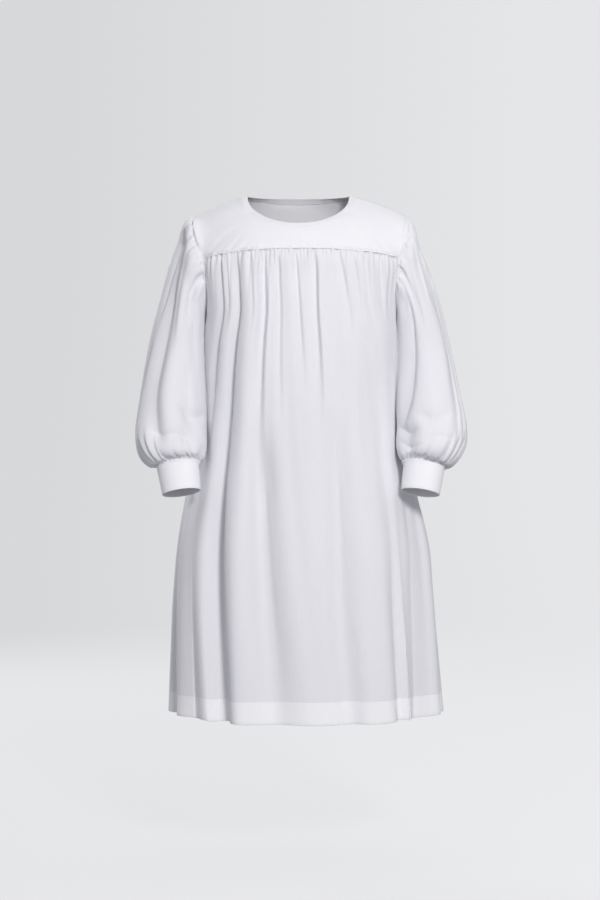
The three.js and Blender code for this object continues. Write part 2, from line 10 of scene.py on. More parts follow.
import bpy
import numpy as np
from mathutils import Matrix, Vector


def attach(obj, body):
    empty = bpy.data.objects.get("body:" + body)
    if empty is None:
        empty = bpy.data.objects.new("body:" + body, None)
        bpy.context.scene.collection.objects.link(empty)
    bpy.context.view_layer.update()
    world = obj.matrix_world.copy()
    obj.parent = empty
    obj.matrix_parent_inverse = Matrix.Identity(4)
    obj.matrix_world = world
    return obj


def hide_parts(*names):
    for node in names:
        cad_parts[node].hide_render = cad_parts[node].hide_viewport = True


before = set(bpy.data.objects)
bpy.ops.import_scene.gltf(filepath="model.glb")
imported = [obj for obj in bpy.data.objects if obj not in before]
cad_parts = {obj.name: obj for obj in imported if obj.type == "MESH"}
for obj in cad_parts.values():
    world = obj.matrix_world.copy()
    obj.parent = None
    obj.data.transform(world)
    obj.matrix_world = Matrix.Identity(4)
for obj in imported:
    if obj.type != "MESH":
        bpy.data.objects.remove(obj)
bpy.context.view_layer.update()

MM = 0.001

# ---------------------------------------------------------------- cloth and thread

SINGLE_CLOTH = 0.9  # thickness of one layer as it is shown
DOUBLE_CLOTH = 1.9
SEAM_GAP = 0.3
TUCK = 6.0  # how far a gathered edge runs on behind the edge that covers it
TUCK_DEPTH = 2.2
CUFF_TUCK_DEPTH = 3.0
RIM_STEPS = 3  # rows that round off the edge of a wall
STITCH = {"length": 2.3, "pitch": 3.2, "radius": 0.22, "sides": 6, "rings": 5}

# ---------------------------------------------------------------- the form

SHOULDER_TIP = (238.0, 0.0, -47.0)
UNDERARM_Z = -265.0
HEM = {"seam_z": -1105.0, "bottom_z": -1160.0, "side_rise": 5.0}
NECK = {
    "centre_x": -6.0,
    "half_width": 115.0,
    "band_width": 14.0,
    "front": {"reach": 96.0, "drop": 72.0},
    "back": {"reach": 80.0, "drop": -4.0},
}
YOKE = {
    "front": {"centre_z": -131.0, "corner_z": -148.0, "corner": 0.73},
    "back": {"centre_z": -120.0, "corner_z": -136.0, "corner": 0.73},
}
CORNER_SHARE = 0.6
CUFF_TOP = {"at": (270.0, -106.0, -606.0), "half_width": 45.5, "half_depth": 39.0}
CUFF_BOTTOM = {"at": (261.0, -121.0, -664.0), "half_width": 43.0, "half_depth": 37.0}
SLEEVE_END = 5.0
CORNER_ANGLE = 82.0
SIDES = {"left": 1, "right": -1}
HALVES = {"front": -1, "back": 1}


def table(columns, *rows):
    """Columns by name, from rows of numbers."""
    return dict(zip(columns.split(), np.array(rows, float).T))


BODY = table(
    "z half_width shift_x side_y front back squareness",
    (-110, 230, 0, 0, 131, 115, 4.0),
    (-150, 223, 0, 0, 137, 120, 3.8),
    (-205, 216, 0, 2, 143, 126, 3.5),
    (-265, 209, 0, 6, 147, 129, 3.2),
    (-335, 214, 0, 28, 150, 132, 3.0),
    (-400, 219, 0, 44, 153, 136, 2.75),
    (-460, 224, 0, 52, 156, 140, 2.55),
    (-570, 238, 0, 58, 163, 150, 2.4),
    (-655, 256, 1, 50, 171, 161, 2.4),
    (-785, 281, 2, 32, 185, 178, 2.4),
    (-887, 291, 3, 22, 194, 189, 2.35),
    (-1003, 299, 6, 15, 203, 200, 2.3),
    (-1160, 308, 10, 10, 212, 212, 2.3),
)

# The largest folds, as in the solids. A station runs round the body: 0 at the centre front,
# 1 and -1 at the side seams (1 at the wearer's left), 2 and -2 at the centre back.
FOLD_LEVELS = (-150, -600, -1160)
FOLDS = table(
    "yoke_at waist_at hem_at yoke waist hem to_left to_right",
    (-0.9, -0.7, -0.64, -4, -9, -26, 0.06, 0.1),
    (-0.58, -0.64, -0.51, -4, -3, 8, 0.06, 0.06),
    (-0.445, -0.48, -0.42, -6, -13, -30, 0.035, 0.06),
    (-0.34, -0.37, -0.33, 4, 9, 13, 0.08, 0.05),
    (-0.25, -0.235, -0.145, -4, -8, -7, 0.06, 0.05),
    (-0.2, -0.15, 0.02, 2, 5, 7, 0.1, 0.1),
    (-0.15, -0.06, 0.08, -3, -3, 0, 0.04, 0.04),
    (0.26, 0.2, 0.23, -2, -3, -12, 0.05, 0.05),
    (0.44, 0.36, 0.36, 0, 3, 9, 0.1, 0.1),
    (0.56, 0.5, 0.52, -2, -4, -24, 0.04, 0.045),
    (0.66, 0.57, 0.56, 0, 2, 10, 0.03, 0.04),
    (0.9, 0.7, 0.64, -4, -9, -24, 0.1, 0.05),
    (0.95, 0.9, 0.86, 0, -2, -22, 0.05, 0.05),
    (1.14, 1.14, 1.14, 0, -4, -24, 0.07, 0.07),
    (1.36, 1.37, 1.38, -4, -9, -28, 0.07, 0.06),
    (1.58, 1.6, 1.63, -4, -7, -17, 0.07, 0.07),
    (1.76, 1.79, 1.82, -5, -9, -26, 0.06, 0.08),
    (2.0, 1.99, 1.97, -3, -5, -14, 0.07, 0.07),
    (-1.8, -1.82, -1.84, -5, -9, -27, 0.08, 0.06),
    (-1.6, -1.62, -1.62, -4, -6, -15, 0.06, 0.07),
    (-1.38, -1.38, -1.4, -4, -8, -30, 0.07, 0.07),
    (-1.15, -1.15, -1.15, 0, -4, -22, 0.06, 0.07),
    (-0.95, -0.9, -0.84, 0, -2, -20, 0.05, 0.05),
)

# Creases on the body: a line from top to bottom as stations and heights, its depth (above
# zero for a ridge), and its half-widths in stations.
CREASES = table(
    "top_at bottom_at top_z bottom_z depth to_left to_right",
    (-0.252, -0.256, -128, -560, -9, 0.008, 0.03),
    (-0.225, -0.215, -170, -700, 3.5, 0.012, 0.014),
    (-0.445, -0.47, -140, -700, -7, 0.009, 0.034),
    (-0.575, -0.66, -140, -620, -6.5, 0.012, 0.03),
    (-0.158, -0.115, -128, -600, -6.5, 0.009, 0.026),
    (-0.038, 0.03, -128, -480, -5.5, 0.009, 0.028),
    (0.098, 0.13, -128, -520, -6.5, 0.008, 0.032),
    (0.128, 0.16, -150, -700, 3.6, 0.022, 0.014),
    (0.255, 0.37, -128, -310, -4.6, 0.01, 0.024),
    (0.352, 0.46, -132, -320, -4.2, 0.01, 0.022),
    (0.446, 0.54, -134, -350, -4.4, 0.01, 0.022),
    (0.556, 0.64, -138, -320, -4.8, 0.01, 0.022),
    (0.64, 0.7, -142, -300, -3.6, 0.01, 0.02),
    (-0.345, -0.34, -132, -360, -4, 0.009, 0.022),
    (-0.52, -0.55, -136, -330, -4.4, 0.009, 0.022),
    (0.46, 0.47, -300, -560, -3.4, 0.03, 0.05),
    (0.35, 0.3, -240, -640, -2.6, 0.012, 0.04),
    (0.2, 0.2, -500, -1500, -11, 0.08, 0.07),
    (0.21, 0.2, -600, -1200, -3, 0.014, 0.03),
    (-0.25, -0.1, -540, -1500, -14, 0.12, 0.045),
    (-0.23, -0.13, -620, -1160, -3.5, 0.014, 0.03),
    (0.3, 0.36, -300, -760, 3.5, 0.03, 0.04),
    (-0.34, -0.33, -420, -1300, 4, 0.035, 0.03),
    (0.49, 0.49, -640, -2200, 4, 0.03, 0.04),
    (0.57, 0.57, -640, -2200, -10, 0.04, 0.05),
    (0.66, 0.66, -640, -2200, 4, 0.05, 0.04),
    (0.8, 0.8, -640, -2200, 10, 0.04, 0.03),
    (0.87, 0.87, -640, -2200, 14, 0.05, 0.04),
    (-0.47, -0.44, -520, -2200, -5, 0.01, 0.024),
    (-0.425, -0.395, -520, -2200, 4, 0.04, 0.012),
    (-0.76, -0.74, -600, -1150, 4, 0.04, 0.05),
    (0.72, 0.7, -640, -1150, 4, 0.04, 0.04),
    (-0.52, -0.52, -640, -2200, -14, 0.06, 0.06),
    (-0.66, -0.66, -640, -2200, 9, 0.06, 0.08),
    (1, 1, -262, -820, 6, 0.07, 0.07),
    (-1, -1, -262, -820, 6, 0.07, 0.07),
    (0.85, 0.83, -200, -700, 9, 0.08, 0.08),
    (-0.85, -0.83, -200, -700, 9, 0.08, 0.08),
    # sides and back
    (1.24, 1.27, -250, -900, -3.2, 0.02, 0.035),
    (1.45, 1.5, -136, -520, -3.6, 0.015, 0.03),
    (1.5, 1.48, -560, -1150, 4, 0.045, 0.05),
    (1.68, 1.7, -128, -640, -4, 0.012, 0.03),
    (1.86, 1.9, -124, -430, -3.4, 0.012, 0.03),
    (1.93, 1.9, -500, -1140, 3.4, 0.045, 0.055),
    (-1.95, -1.9, -124, -560, -4, 0.012, 0.03),
    (-1.74, -1.7, -126, -420, -3.4, 0.012, 0.028),
    (-1.7, -1.72, -520, -1140, 3.6, 0.045, 0.05),
    (-1.54, -1.5, -130, -560, -3.8, 0.014, 0.03),
    (-1.3, -1.27, -240, -820, -3.2, 0.02, 0.035),
)

CROWN = {
    "front": table("share height", (0, 3), (0.3, 10), (0.6, 20), (0.8, 15), (1, 4)),
    "back": table("share height", (0, 10), (0.3, 16), (0.6, 24), (0.8, 17), (1, 4)),
}

ARMHOLE_EDGE = {
    "front": ((233, -68, -96), (240, -38, -62)),
    "back": ((233, 70, -92), (240, 38, -61)),
}

SLEEVE = table(
    "left_x right_x outer_z inner_x inner_z centre_y half_depth tilt armhole",
    (238, 238, -47, 209, -265, 0, 88, 0, 1.0),
    (246, 255, -56, 210, -267, -1, 88.5, 0, 0.88),
    (260, 275, -82, 212, -273, -2, 88, 0, 0.6),
    (285, 299, -149, 213.5, -291, -3, 85, 0, 0.28),
    (310, 319, -234, 216, -324, -5, 80, 0, 0.08),
    (335, 342, -335, 217, -385, -12, 77, 1, 0),
    (352, 357, -425, 215, -452, -35, 79, 5, 0),
    (367, 367, -504, 213, -517, -60, 84, 10, 0),
    (371, 369, -552, 211, -556, -79, 86, 13, 0),
    (361, 361, -583, 212, -574, -92, 82, 15, 0),
    (346, 347, -603, 215, -586, -101, 72, 15, 0),
    (330, 330, -613, 221, -591, -105, 57, 13, 0),
)


def along(rows, key, place, column):
    """Smooth value of a column where the key column reaches the given places."""
    keys, values = rows[key], rows[column]
    direction = np.sign(keys[-1] - keys[0])
    last = len(keys) - 1
    i = np.searchsorted(direction * keys, direction * np.asarray(place, float), side="right") - 1
    i = np.clip(i, 0, last - 1)
    slopes = np.diff(values) / np.diff(keys)
    here = slopes[i]
    before = np.where(i > 0, (slopes[np.maximum(i - 1, 0)] + here) / 2, here)
    after = np.where(i < last - 1, (slopes[np.minimum(i + 1, last - 1)] + here) / 2, here)
    span = keys[i + 1] - keys[i]
    t = np.clip((place - keys[i]) / span, 0, 1)
    rise = values[i + 1] - values[i]
    bend = t * (1 - t) * ((before * span - rise) * (1 - t) - (after * span - rise) * t)
    return values[i] + rise * t + bend


def smoothstep(value, low, high):
    t = np.clip((value - low) / (high - low), 0, 1)
    return t * t * (3 - 2 * t)


def lerp(a, b, t):
    return a + (b - a) * t


def wrapped(value, whole_turn):
    """The same place round a closed form, between minus half a turn and half a turn."""
    return np.mod(value + whole_turn / 2, whole_turn) - whole_turn / 2


def unit(vectors):
    return vectors / np.maximum(np.linalg.norm(vectors, axis=-1, keepdims=True), 1e-12)


STATIONS_ROUND = 4
NORMAL_STEP = 0.012  # stations to either side of a point, for its direction outwards
QUARTER_STEPS = 48


def body_point(station, z):
    """Points of the smooth body at stations and heights."""
    station, z = np.broadcast_arrays(np.asarray(station, float), np.asarray(z, float))
    turned = wrapped(station, STATIONS_ROUND)
    behind = np.abs(turned) > 1
    share = np.where(behind, 2 - np.abs(turned), np.abs(turned))
    facing = np.where(behind, 1.0, -1.0)
    half_width = along(BODY, "z", z, "half_width")
    side_y = along(BODY, "z", z, "side_y")
    power = along(BODY, "z", z, "squareness")
    reach = np.where(behind, along(BODY, "z", z, "back"), along(BODY, "z", z, "front"))
    depth = reach - facing * side_y

    def on_section(angle, wide, deep, exponent):
        across, ahead = np.sin(angle), np.cos(angle)
        size = ((across / wide) ** exponent + (ahead / deep) ** exponent) ** (-1 / exponent)
        return size * across, size * ahead

    angles = np.linspace(0, math.pi / 2, QUARTER_STEPS + 1)
    x, y = on_section(angles, half_width[..., None], depth[..., None], power[..., None])
    steps = np.hypot(np.diff(x), np.diff(y))
    lengths = np.concatenate([np.zeros(steps.shape[:-1] + (1,)), np.cumsum(steps, -1)], -1)
    wanted = share * lengths[..., -1]
    i = np.clip((lengths < wanted[..., None]).sum(-1), 1, QUARTER_STEPS)
    low = np.take_along_axis(lengths, i[..., None] - 1, -1)[..., 0]
    high = np.take_along_axis(lengths, i[..., None], -1)[..., 0]
    angle = (i - 1 + (wanted - low) / (high - low)) * angles[1]
    x, y = on_section(np.clip(angle, 0, math.pi / 2), half_width, depth, power)
    shift = along(BODY, "z", z, "shift_x")
    return np.stack([np.sign(turned) * x + shift, side_y + facing * y, z], -1)


def outwards(form, station, z):
    """Horizontal directions out of a form."""
    run = form(station + NORMAL_STEP, z) - form(station - NORMAL_STEP, z)
    return unit(np.stack([run[..., 1], -run[..., 0], np.zeros_like(run[..., 0])], -1))


def bump(offset, to_left, to_right):
    """A soft ridge of height 1, with its own half-width on either side."""
    width = np.where(offset > 0, to_left, to_right)
    return np.exp(-((offset / width) ** 2))


def valley(offset, ahead, behind, softness=0.12):
    """A valley of depth 1 with a narrow bottom, and its own half-width on either side."""
    width = np.where(offset > 0, ahead, behind)
    return np.exp(-np.sqrt((offset / width) ** 2 + softness))


def fold_height(station, z):
    """Height of all large folds over the smooth body."""
    height = np.zeros(np.broadcast(station, z).shape)
    for *places, to_left, to_right in zip(*FOLDS.values()):
        levels = {"z": np.array(FOLD_LEVELS, float)}
        levels["at"] = np.array(places[:3])
        levels["height"] = np.array(places[3:])
        offset = wrapped(station - along(levels, "z", z, "at"), STATIONS_ROUND)
        height += along(levels, "z", z, "height") * bump(offset, to_left, to_right)
    return height


def folded_point(station, z):
    normal = outwards(body_point, station, z)
    return body_point(station, z) + normal * fold_height(station, z)[..., None]


def round_station(half, side, station):
    return side * (station if half == "front" else 2 - station)


def yoke_seam_z(half, station):
    edge = YOKE[half]
    return lerp(edge["centre_z"], edge["corner_z"], (np.abs(station) / edge["corner"]) ** 2)


def centripetal(points, share):
    """Points of a centripetal Catmull-Rom curve through the given points."""
    points = np.array(points, float)
    padded = np.vstack([2 * points[0] - points[1], points, 2 * points[-1] - points[-2]])
    spans = np.sqrt(np.linalg.norm(np.diff(padded, axis=0), axis=1))
    place = np.clip(np.asarray(share, float), 0, 1) * (len(points) - 1)
    i = np.minimum(place.astype(int), len(points) - 2)
    t = (place - i)[..., None]
    p0, p1, p2, p3 = (padded[i + k] for k in range(4))
    d0, d1, d2 = (spans[i + k][..., None] for k in range(3))
    start = ((p1 - p0) / d0 - (p2 - p0) / (d0 + d1) + (p2 - p1) / d1) * d1
    end = ((p2 - p1) / d1 - (p3 - p1) / (d1 + d2) + (p3 - p2) / d2) * d1
    square = 3 * (p2 - p1) - 2 * start - end
    cube = 2 * (p1 - p2) + start + end
    return p1 + start * t + square * t**2 + cube * t**3


MIRROR = {1: np.array((1.0, 1.0, 1.0)), -1: np.array((-1.0, 1.0, 1.0))}


def armhole_edge(half, side, share):
    """Upper armhole, from the yoke's corner (share 0) to the shoulder's tip (share 1)."""
    corner = YOKE[half]
    station = round_station(half, side, corner["corner"])
    start = folded_point(np.array(station), np.array(corner["corner_z"]))
    above = [np.array(p, float) * MIRROR[side] for p in (*ARMHOLE_EDGE[half], SHOULDER_TIP)]
    return centripetal([start, *above], share)


def armhole_arc(half, turn):
    """Lower armhole, from the yoke's corner (turn 0) to the underarm: station and height."""
    angle = turn * math.pi / 2
    corner = YOKE[half]["corner"]
    station = corner + (1 - corner) * (1 - np.cos(angle))
    return station, lerp(YOKE[half]["corner_z"], UNDERARM_Z, np.sin(angle))


# ---------------------------------------------------------------- meshes


def linked_mesh(name, vertices, faces):
    """A smooth-shaded mesh in the scene, from vertices in metres."""
    mesh = bpy.data.meshes.new(name)
    mesh.from_pydata(vertices, [], faces)
    mesh.polygons.foreach_set("use_smooth", np.ones(len(faces), bool))
    mesh.update()
    piece = bpy.data.objects.new(name, mesh)
    bpy.context.scene.collection.objects.link(piece)
    return piece


def grid_normals(points, closed, inside):
    """Normals of a grid, pointing away from the points inside."""
    down = np.gradient(points, axis=0)
    if closed:
        across = np.roll(points, -1, 1) - np.roll(points, 1, 1)
    else:
        across = np.gradient(points, axis=1)
    normals = unit(np.cross(across, down))
    facing = np.sign(((points - inside) * normals).sum(-1).mean())
    return normals * facing


def raised(points, height, closed, inside):
    return points + grid_normals(points, closed, inside) * height[..., None]


def rim(outer, inner, row, before):
    """Rows that round off a wall past one of its end rows, from its outside to its inside."""
    middle = (outer[row] + inner[row]) / 2
    out = (outer[row] - inner[row]) / 2
    away = unit(outer[row] - outer[before]) * np.linalg.norm(out, axis=-1, keepdims=True)
    turns = [math.pi * (k + 1) / (RIM_STEPS + 1) for k in range(RIM_STEPS)]
    return [middle + out * math.cos(t) + away * math.sin(t) for t in turns]


def end_caps(count, total):
    """Quads that shut one side of an open wall, as rows of the loop, and their grid rows."""

    def inner_row(row):
        return count + RIM_STEPS + (count - 1 - row)

    caps = [(i, inner_row(i), inner_row(i + 1), i + 1) for i in range(count - 1)]
    rows = [(i, i, i + 1, i + 1) for i in range(count - 1)]
    bottom = [count - 1, *range(count, count + RIM_STEPS), inner_row(count - 1)]
    top = [inner_row(0), *range(total - RIM_STEPS, total), 0]
    for ring, row in ((bottom, count - 1), (top, 0)):
        low, high = 0, len(ring) - 1
        while high - low >= 3:
            caps.append((ring[low], ring[high], ring[high - 1], ring[low + 1]))
            rows.append((row,) * 4)
            low, high = low + 1, high - 1
    return np.array(caps), np.array(rows)


def signed_volume(vertices, faces):
    a, b, c, d = (vertices[faces[:, k]] for k in range(4))
    return (a * np.cross(b, c)).sum() + (a * np.cross(c, d)).sum()


def wall_mesh(name, outer, thickness, closed, inside, flat_uv, slots=None):
    """A closed shell from a grid of outer points, with rounded rims on its first and last rows.

    flat_uv gives each grid point's place on the flat cloth, in mm, with one column more than
    the grid where it is closed. slots gives each row of faces its material.
    """
    normals = grid_normals(outer, closed, inside)
    inner = outer - normals * np.broadcast_to(thickness, outer.shape[:2])[..., None]
    count, columns = outer.shape[:2]
    rows = [*outer, *rim(outer, inner, -1, -2), *inner[::-1], *rim(outer, inner, 0, 1)[::-1]]
    order = [*range(count), *[count - 1] * RIM_STEPS, *range(count)[::-1], *[0] * RIM_STEPS]
    order = np.array(order)
    vertices = np.array(rows).reshape(-1, 3)
    total = len(rows)
    r, c = np.meshgrid(np.arange(total), np.arange(columns if closed else columns - 1), indexing="ij")
    r2, c2 = (r + 1) % total, (c + 1) % columns
    quads = np.stack([r * columns + c, r2 * columns + c, r2 * columns + c2, r * columns + c2], -1)
    corner_rows = np.stack([order[r], order[r2], order[r2], order[r]], -1)
    corner_columns = np.stack([c, c, c + 1, c + 1], -1)
    uv = flat_uv[corner_rows, corner_columns].reshape(-1, 2)
    faces = quads.reshape(-1, 4)
    face_rows = np.minimum(order[r], order[r2]).reshape(-1)
    if not closed:
        caps, cap_rows = end_caps(count, total)
        for column, way in ((0, 1), (columns - 1, -1)):
            faces = np.vstack([faces, caps[:, ::way] * columns + column])
            uv = np.vstack([uv, flat_uv[cap_rows[:, ::way].reshape(-1), column]])
            face_rows = np.concatenate([face_rows, cap_rows.min(1)])
    if signed_volume(vertices, faces) < 0:
        faces = faces[:, ::-1]
        uv = uv.reshape(-1, 4, 2)[:, ::-1].reshape(-1, 2)
    piece = linked_mesh(name, vertices * MM, faces)
    layer = piece.data.uv_layers.new(name="flat_cloth")
    layer.data.foreach_set("uv", (uv * MM).astype(np.float32).reshape(-1))
    if slots is not None:
        piece.data.polygons.foreach_set("material_index", slots[face_rows].astype(np.int32))
    return piece


# ---------------------------------------------------------------- gathers, creases, crinkle


def gather_lines(seed, count, spread, lengths, depths, widths=(1.1, 1.9), fan=0.0):
    """Uneven gathers along a seam, by name: place, depth, half-widths, length and lean."""
    draw = random.Random(seed)
    lines = []
    for i in range(count):
        share = (i + 0.5 + draw.uniform(-0.38, 0.38)) / count * 2 - 1
        kind = draw.choices((0, 1, 2), weights=(5, 3, 1.5))[0]
        steep = draw.uniform(*widths)
        gentle = steep * draw.uniform(1.5, 2.8)
        if draw.random() < 0.3:
            steep, gentle = gentle, steep
        line = {
            "place": share * spread,
            "depth": draw.uniform(*depths) * (0.75 + 0.25 * kind),
            "ahead": steep,
            "behind": gentle,
            "length": lengths[kind] * draw.uniform(0.65, 1.35),
            "lean": draw.uniform(-0.05, 0.05) + fan * share,
        }
        lines.append(line)
    return lines


def gather_height(lines, along_seam, below, mm_per_place, at_seam=0.4, reach=1.0, full_at=6):
    """Height of gathers at distances along and below a seam, in mm: rounded with sharp valleys.

    at_seam is their share of the depth at the seam itself, full_at the distance in mm where
    they are deepest, and reach stretches them where they run further from it.
    """
    height = np.zeros(np.broadcast(along_seam, below).shape)
    depth_below = np.maximum(below, 0)
    grown = lerp(at_seam, 1, smoothstep(depth_below, 0, full_at))
    wider = 1 + depth_below / 30
    for line in lines:
        offset = along_seam - line["place"] * mm_per_place - line["lean"] * depth_below
        fade = np.exp(-((depth_below / (line["length"] * reach)) ** 1.5))
        shape = valley(offset, line["ahead"] * wider, line["behind"] * wider)
        height -= line["depth"] * grown * fade * shape
    return height


def puff(below, where, height, at, half_width, full_at):
    """The swell of gathered cloth at a distance below its seam."""
    return height * np.exp(-(((below - at) / half_width) ** 2)) * where * smoothstep(below, 0, full_at)


# Shares of a crease's length over which it comes in and dies away, and how much it widens.
CREASE_ENDS = {"in": (-0.04, 0.12), "out": (0.45, 1.0), "widening": 1.2}


def line_creases(rows, station, z):
    """Creases that run down the body, faded in and out at their ends."""
    height = np.zeros(np.broadcast(station, z).shape)
    for top_at, bottom_at, top_z, bottom_z, depth, to_left, to_right in zip(*rows.values()):
        share = (z - top_z) / (bottom_z - top_z)
        at = lerp(top_at, bottom_at, np.clip(share, 0, 1))
        offset = wrapped(station - at, STATIONS_ROUND)
        fade = smoothstep(share, *CREASE_ENDS["in"]) * (1 - smoothstep(share, *CREASE_ENDS["out"]))
        widening = 1 + CREASE_ENDS["widening"] * np.clip(share, 0, 1)
        height += depth * fade * bump(offset, to_left * widening, to_right * widening)
    return height


# Faint unevenness of pressed cloth, by piece: height, size across, size down, and seed.
CRINKLES = {
    "front_panel": ((0.9, 60, 420, 5), (0.25, 22, 70, 45)),
    "back_panel": ((0.9, 60, 420, 6), (0.25, 22, 70, 46)),
    "front_yoke": ((0.8, 55, 70, 31),),
    "back_yoke": ((0.8, 55, 70, 32),),
    "left_sleeve": ((1.1, 46, 120, 92), (0.3, 18, 40, 96)),
    "right_sleeve": ((1.1, 46, 120, 90), (0.3, 18, 40, 94)),
    "left_cuff": ((0.8, 40, 70, 62),),
    "right_cuff": ((0.8, 40, 70, 60),),
}
CRINKLE_WAVES = 14


def crinkled(name, height, u, v, clear=1):
    """A piece's height with its crinkles added, less of them where the cloth isn't clear."""
    for rise, size_u, size_v, seed in CRINKLES[name]:
        draw = random.Random(seed)
        total = np.zeros(np.broadcast(u, v).shape)
        for _ in range(CRINKLE_WAVES):
            turn = draw.uniform(0, 2 * math.pi)
            pace = draw.uniform(0.5, 1.4)
            phase = draw.uniform(0, 2 * math.pi)
            place = u / size_u * math.cos(turn) + v / size_v * math.sin(turn)
            total += np.sin(place * 2 * pace + phase)
        height = height + rise * (total / math.sqrt(CRINKLE_WAVES * 2)) * clear
    return height


# ---------------------------------------------------------------- panels

PANEL = {"seam_columns": 360, "arc_columns": 30, "hem_rows": 8, "axis_y": 20}
MM_PER_STATION = {"seam": 318.0, "hem": 500.0}
PANEL_GATHERS = {
    "front": gather_lines(11, 44, 0.715, (17, 36, 84), (4.2, 8.4), fan=0.1),
    "back": gather_lines(23, 46, 0.715, (18, 40, 90), (4.2, 8.4), fan=0.08),
}
FINE_GATHERS = {
    half: gather_lines(seed, 66, 0.72, (7, 12, 18), (2.4, 4.2), widths=(0.9, 1.3), fan=0.12)
    for half, seed in (("front", 12), ("back", 24))
}
# Shares of the way from a panel's top edge to the hem's seam, closer together near the gathers.
PANEL_ROWS = np.concatenate(
    [np.arange(0, 0.06, 0.0032), np.arange(0.06, 0.2, 0.008), np.linspace(0.2, 1, 54)]
)
PANEL_PUFF = {"height": 3.2, "at": 22, "half_width": 26, "full_at": 12}
GATHERED_TO = (-0.03, 0.04)  # stations past the yoke's corner where the gathers die away
ARMHOLE_CLEAR = 42  # mm from the armhole's seam to full creases


def panel_grid(half):
    """Smooth grid of a panel: station and height of each point, and its distance to the top."""
    corner = YOKE[half]["corner"]
    seam = np.linspace(-corner, corner, PANEL["seam_columns"] + 1)
    turns = np.linspace(0, 1, PANEL["arc_columns"] + 1)[1:]
    arc_station, arc_z = armhole_arc(half, turns)
    station = np.concatenate([-arc_station[::-1], seam, arc_station])
    top_z = np.concatenate([arc_z[::-1], yoke_seam_z(half, seam), arc_z]) - SEAM_GAP
    rows = PANEL_ROWS[:, None]
    upper = lerp(top_z, HEM["seam_z"], rows)
    turned = round_station(half, 1, station)
    bottom = HEM["bottom_z"] + HEM["side_rise"] * (1 - np.cos(turned * math.pi)) / 2
    shares = np.linspace(0, 1, PANEL["hem_rows"] + 1)[1:, None]
    lower = lerp(HEM["seam_z"], bottom, shares)
    z = np.vstack([upper, lower])
    return np.broadcast_to(station, z.shape), z, top_z - z, len(rows)


def on_axis(z):
    """Points inside the body, level with the given heights."""
    return np.stack([np.zeros_like(z), np.full_like(z, PANEL["axis_y"]), z], -1)


def panel(half):
    """A half of the body, with its grid, the points inside it and the hem's first row."""
    station, z, below, hem_row = panel_grid(half)
    turned = round_station(half, 1, station)
    corner = YOKE[half]["corner"]
    on_seam = 1 - smoothstep(np.abs(station), corner + GATHERED_TO[0], corner + GATHERED_TO[1])
    along_seam = station * MM_PER_STATION["seam"]
    lines = PANEL_GATHERS[half] + FINE_GATHERS[half]
    detail = gather_height(lines, along_seam, below, MM_PER_STATION["seam"]) * on_seam
    detail += puff(below, on_seam, **PANEL_PUFF)
    clear = smoothstep(below, 0, ARMHOLE_CLEAR)
    detail += line_creases(CREASES, turned, z) * lerp(clear, 1, on_seam)
    across = station * MM_PER_STATION["hem"]
    detail = crinkled(f"{half}_panel", detail, across, z, clear)
    inside = on_axis(z)
    points = raised(folded_point(turned, z), detail, False, inside)
    flat = np.stack([across, -below], -1)
    points, flat, extra = tuck_top(points, flat, inside, on_seam[0])
    hem = extra + hem_row
    turned_up = np.arange(len(points)) >= hem
    thickness = np.where(turned_up, DOUBLE_CLOTH, SINGLE_CLOTH)[:, None]
    inside = on_axis(points[..., 2])
    piece = wall_mesh(f"cloth_{half}_panel", points, thickness, False, inside, flat, turned_up)
    return piece, points, inside, hem


def tuck_top(points, flat, inside, amount):
    """Carries the gathered top edge on upwards behind the yoke."""
    away = unit((points[0] - inside[0]) * (1, 1, 0))
    rows, places = [], []
    for share in (1.0, 0.5):
        lift = np.stack([np.zeros_like(amount)] * 2 + [TUCK * share * amount], -1)
        rows.append(points[0] + lift - away * (TUCK_DEPTH * amount)[:, None])
        places.append(flat[0] + (0, TUCK * share))
    return np.vstack([np.array(rows), points]), np.vstack([np.array(places), flat]), len(rows)


# ---------------------------------------------------------------- yoke and neck band

YOKE_GRID = {"seam": 60, "edge": 34, "rows": 40}
YOKE_FLAT = {"half_width": 330, "length": 110}
YOKE_CRINKLE_WIDTH = 400
YOKE_INSIDE = np.array((0.0, 0.0, -420.0))
YOKE_EDGE = {"rise": 0.5, "over": (0.93, 0.985)}  # where it lies on the seam allowances
YOKE_CALM = {"neck": (0, 0.12), "shoulder": (0.93, 1.0)}  # shares where its creases die away
YOKE_CREASES = table(
    # place along the whole half (-1 to 1), how far in from the seam (share of the yoke), depth
    "at lean reach depth width",
    (-0.56, 0.12, 0.85, -2.6, 0.032),
    (-0.5, 0.1, 0.6, -2, 0.026),
    (-0.43, 0.06, 0.7, -2.2, 0.026),
    (-0.35, 0.04, 0.45, -1.5, 0.02),
    (-0.22, 0, 0.5, -1.6, 0.016),
    (0.1, 0, 0.3, -1, 0.014),
    (0.33, -0.02, 0.35, -1.2, 0.016),
    (0.52, -0.03, 0.6, -1.6, 0.02),
)


def neck_point(half, side, share):
    angle = share * math.pi / 2
    edge = NECK[half]
    x = NECK["centre_x"] + side * NECK["half_width"] * np.sin(angle)
    y = HALVES[half] * edge["reach"] * np.cos(angle)
    return np.stack([x, y, -edge["drop"] * np.cos(angle)], -1)


def yoke_edge_point(half, side, share):
    station = YOKE[half]["corner"] * np.minimum(share, CORNER_SHARE) / CORNER_SHARE
    seam = folded_point(round_station(half, side, station), yoke_seam_z(half, station))
    upper = armhole_edge(half, side, (share - CORNER_SHARE) / (1 - CORNER_SHARE))
    return np.where((share > CORNER_SHARE)[..., None], upper, seam)


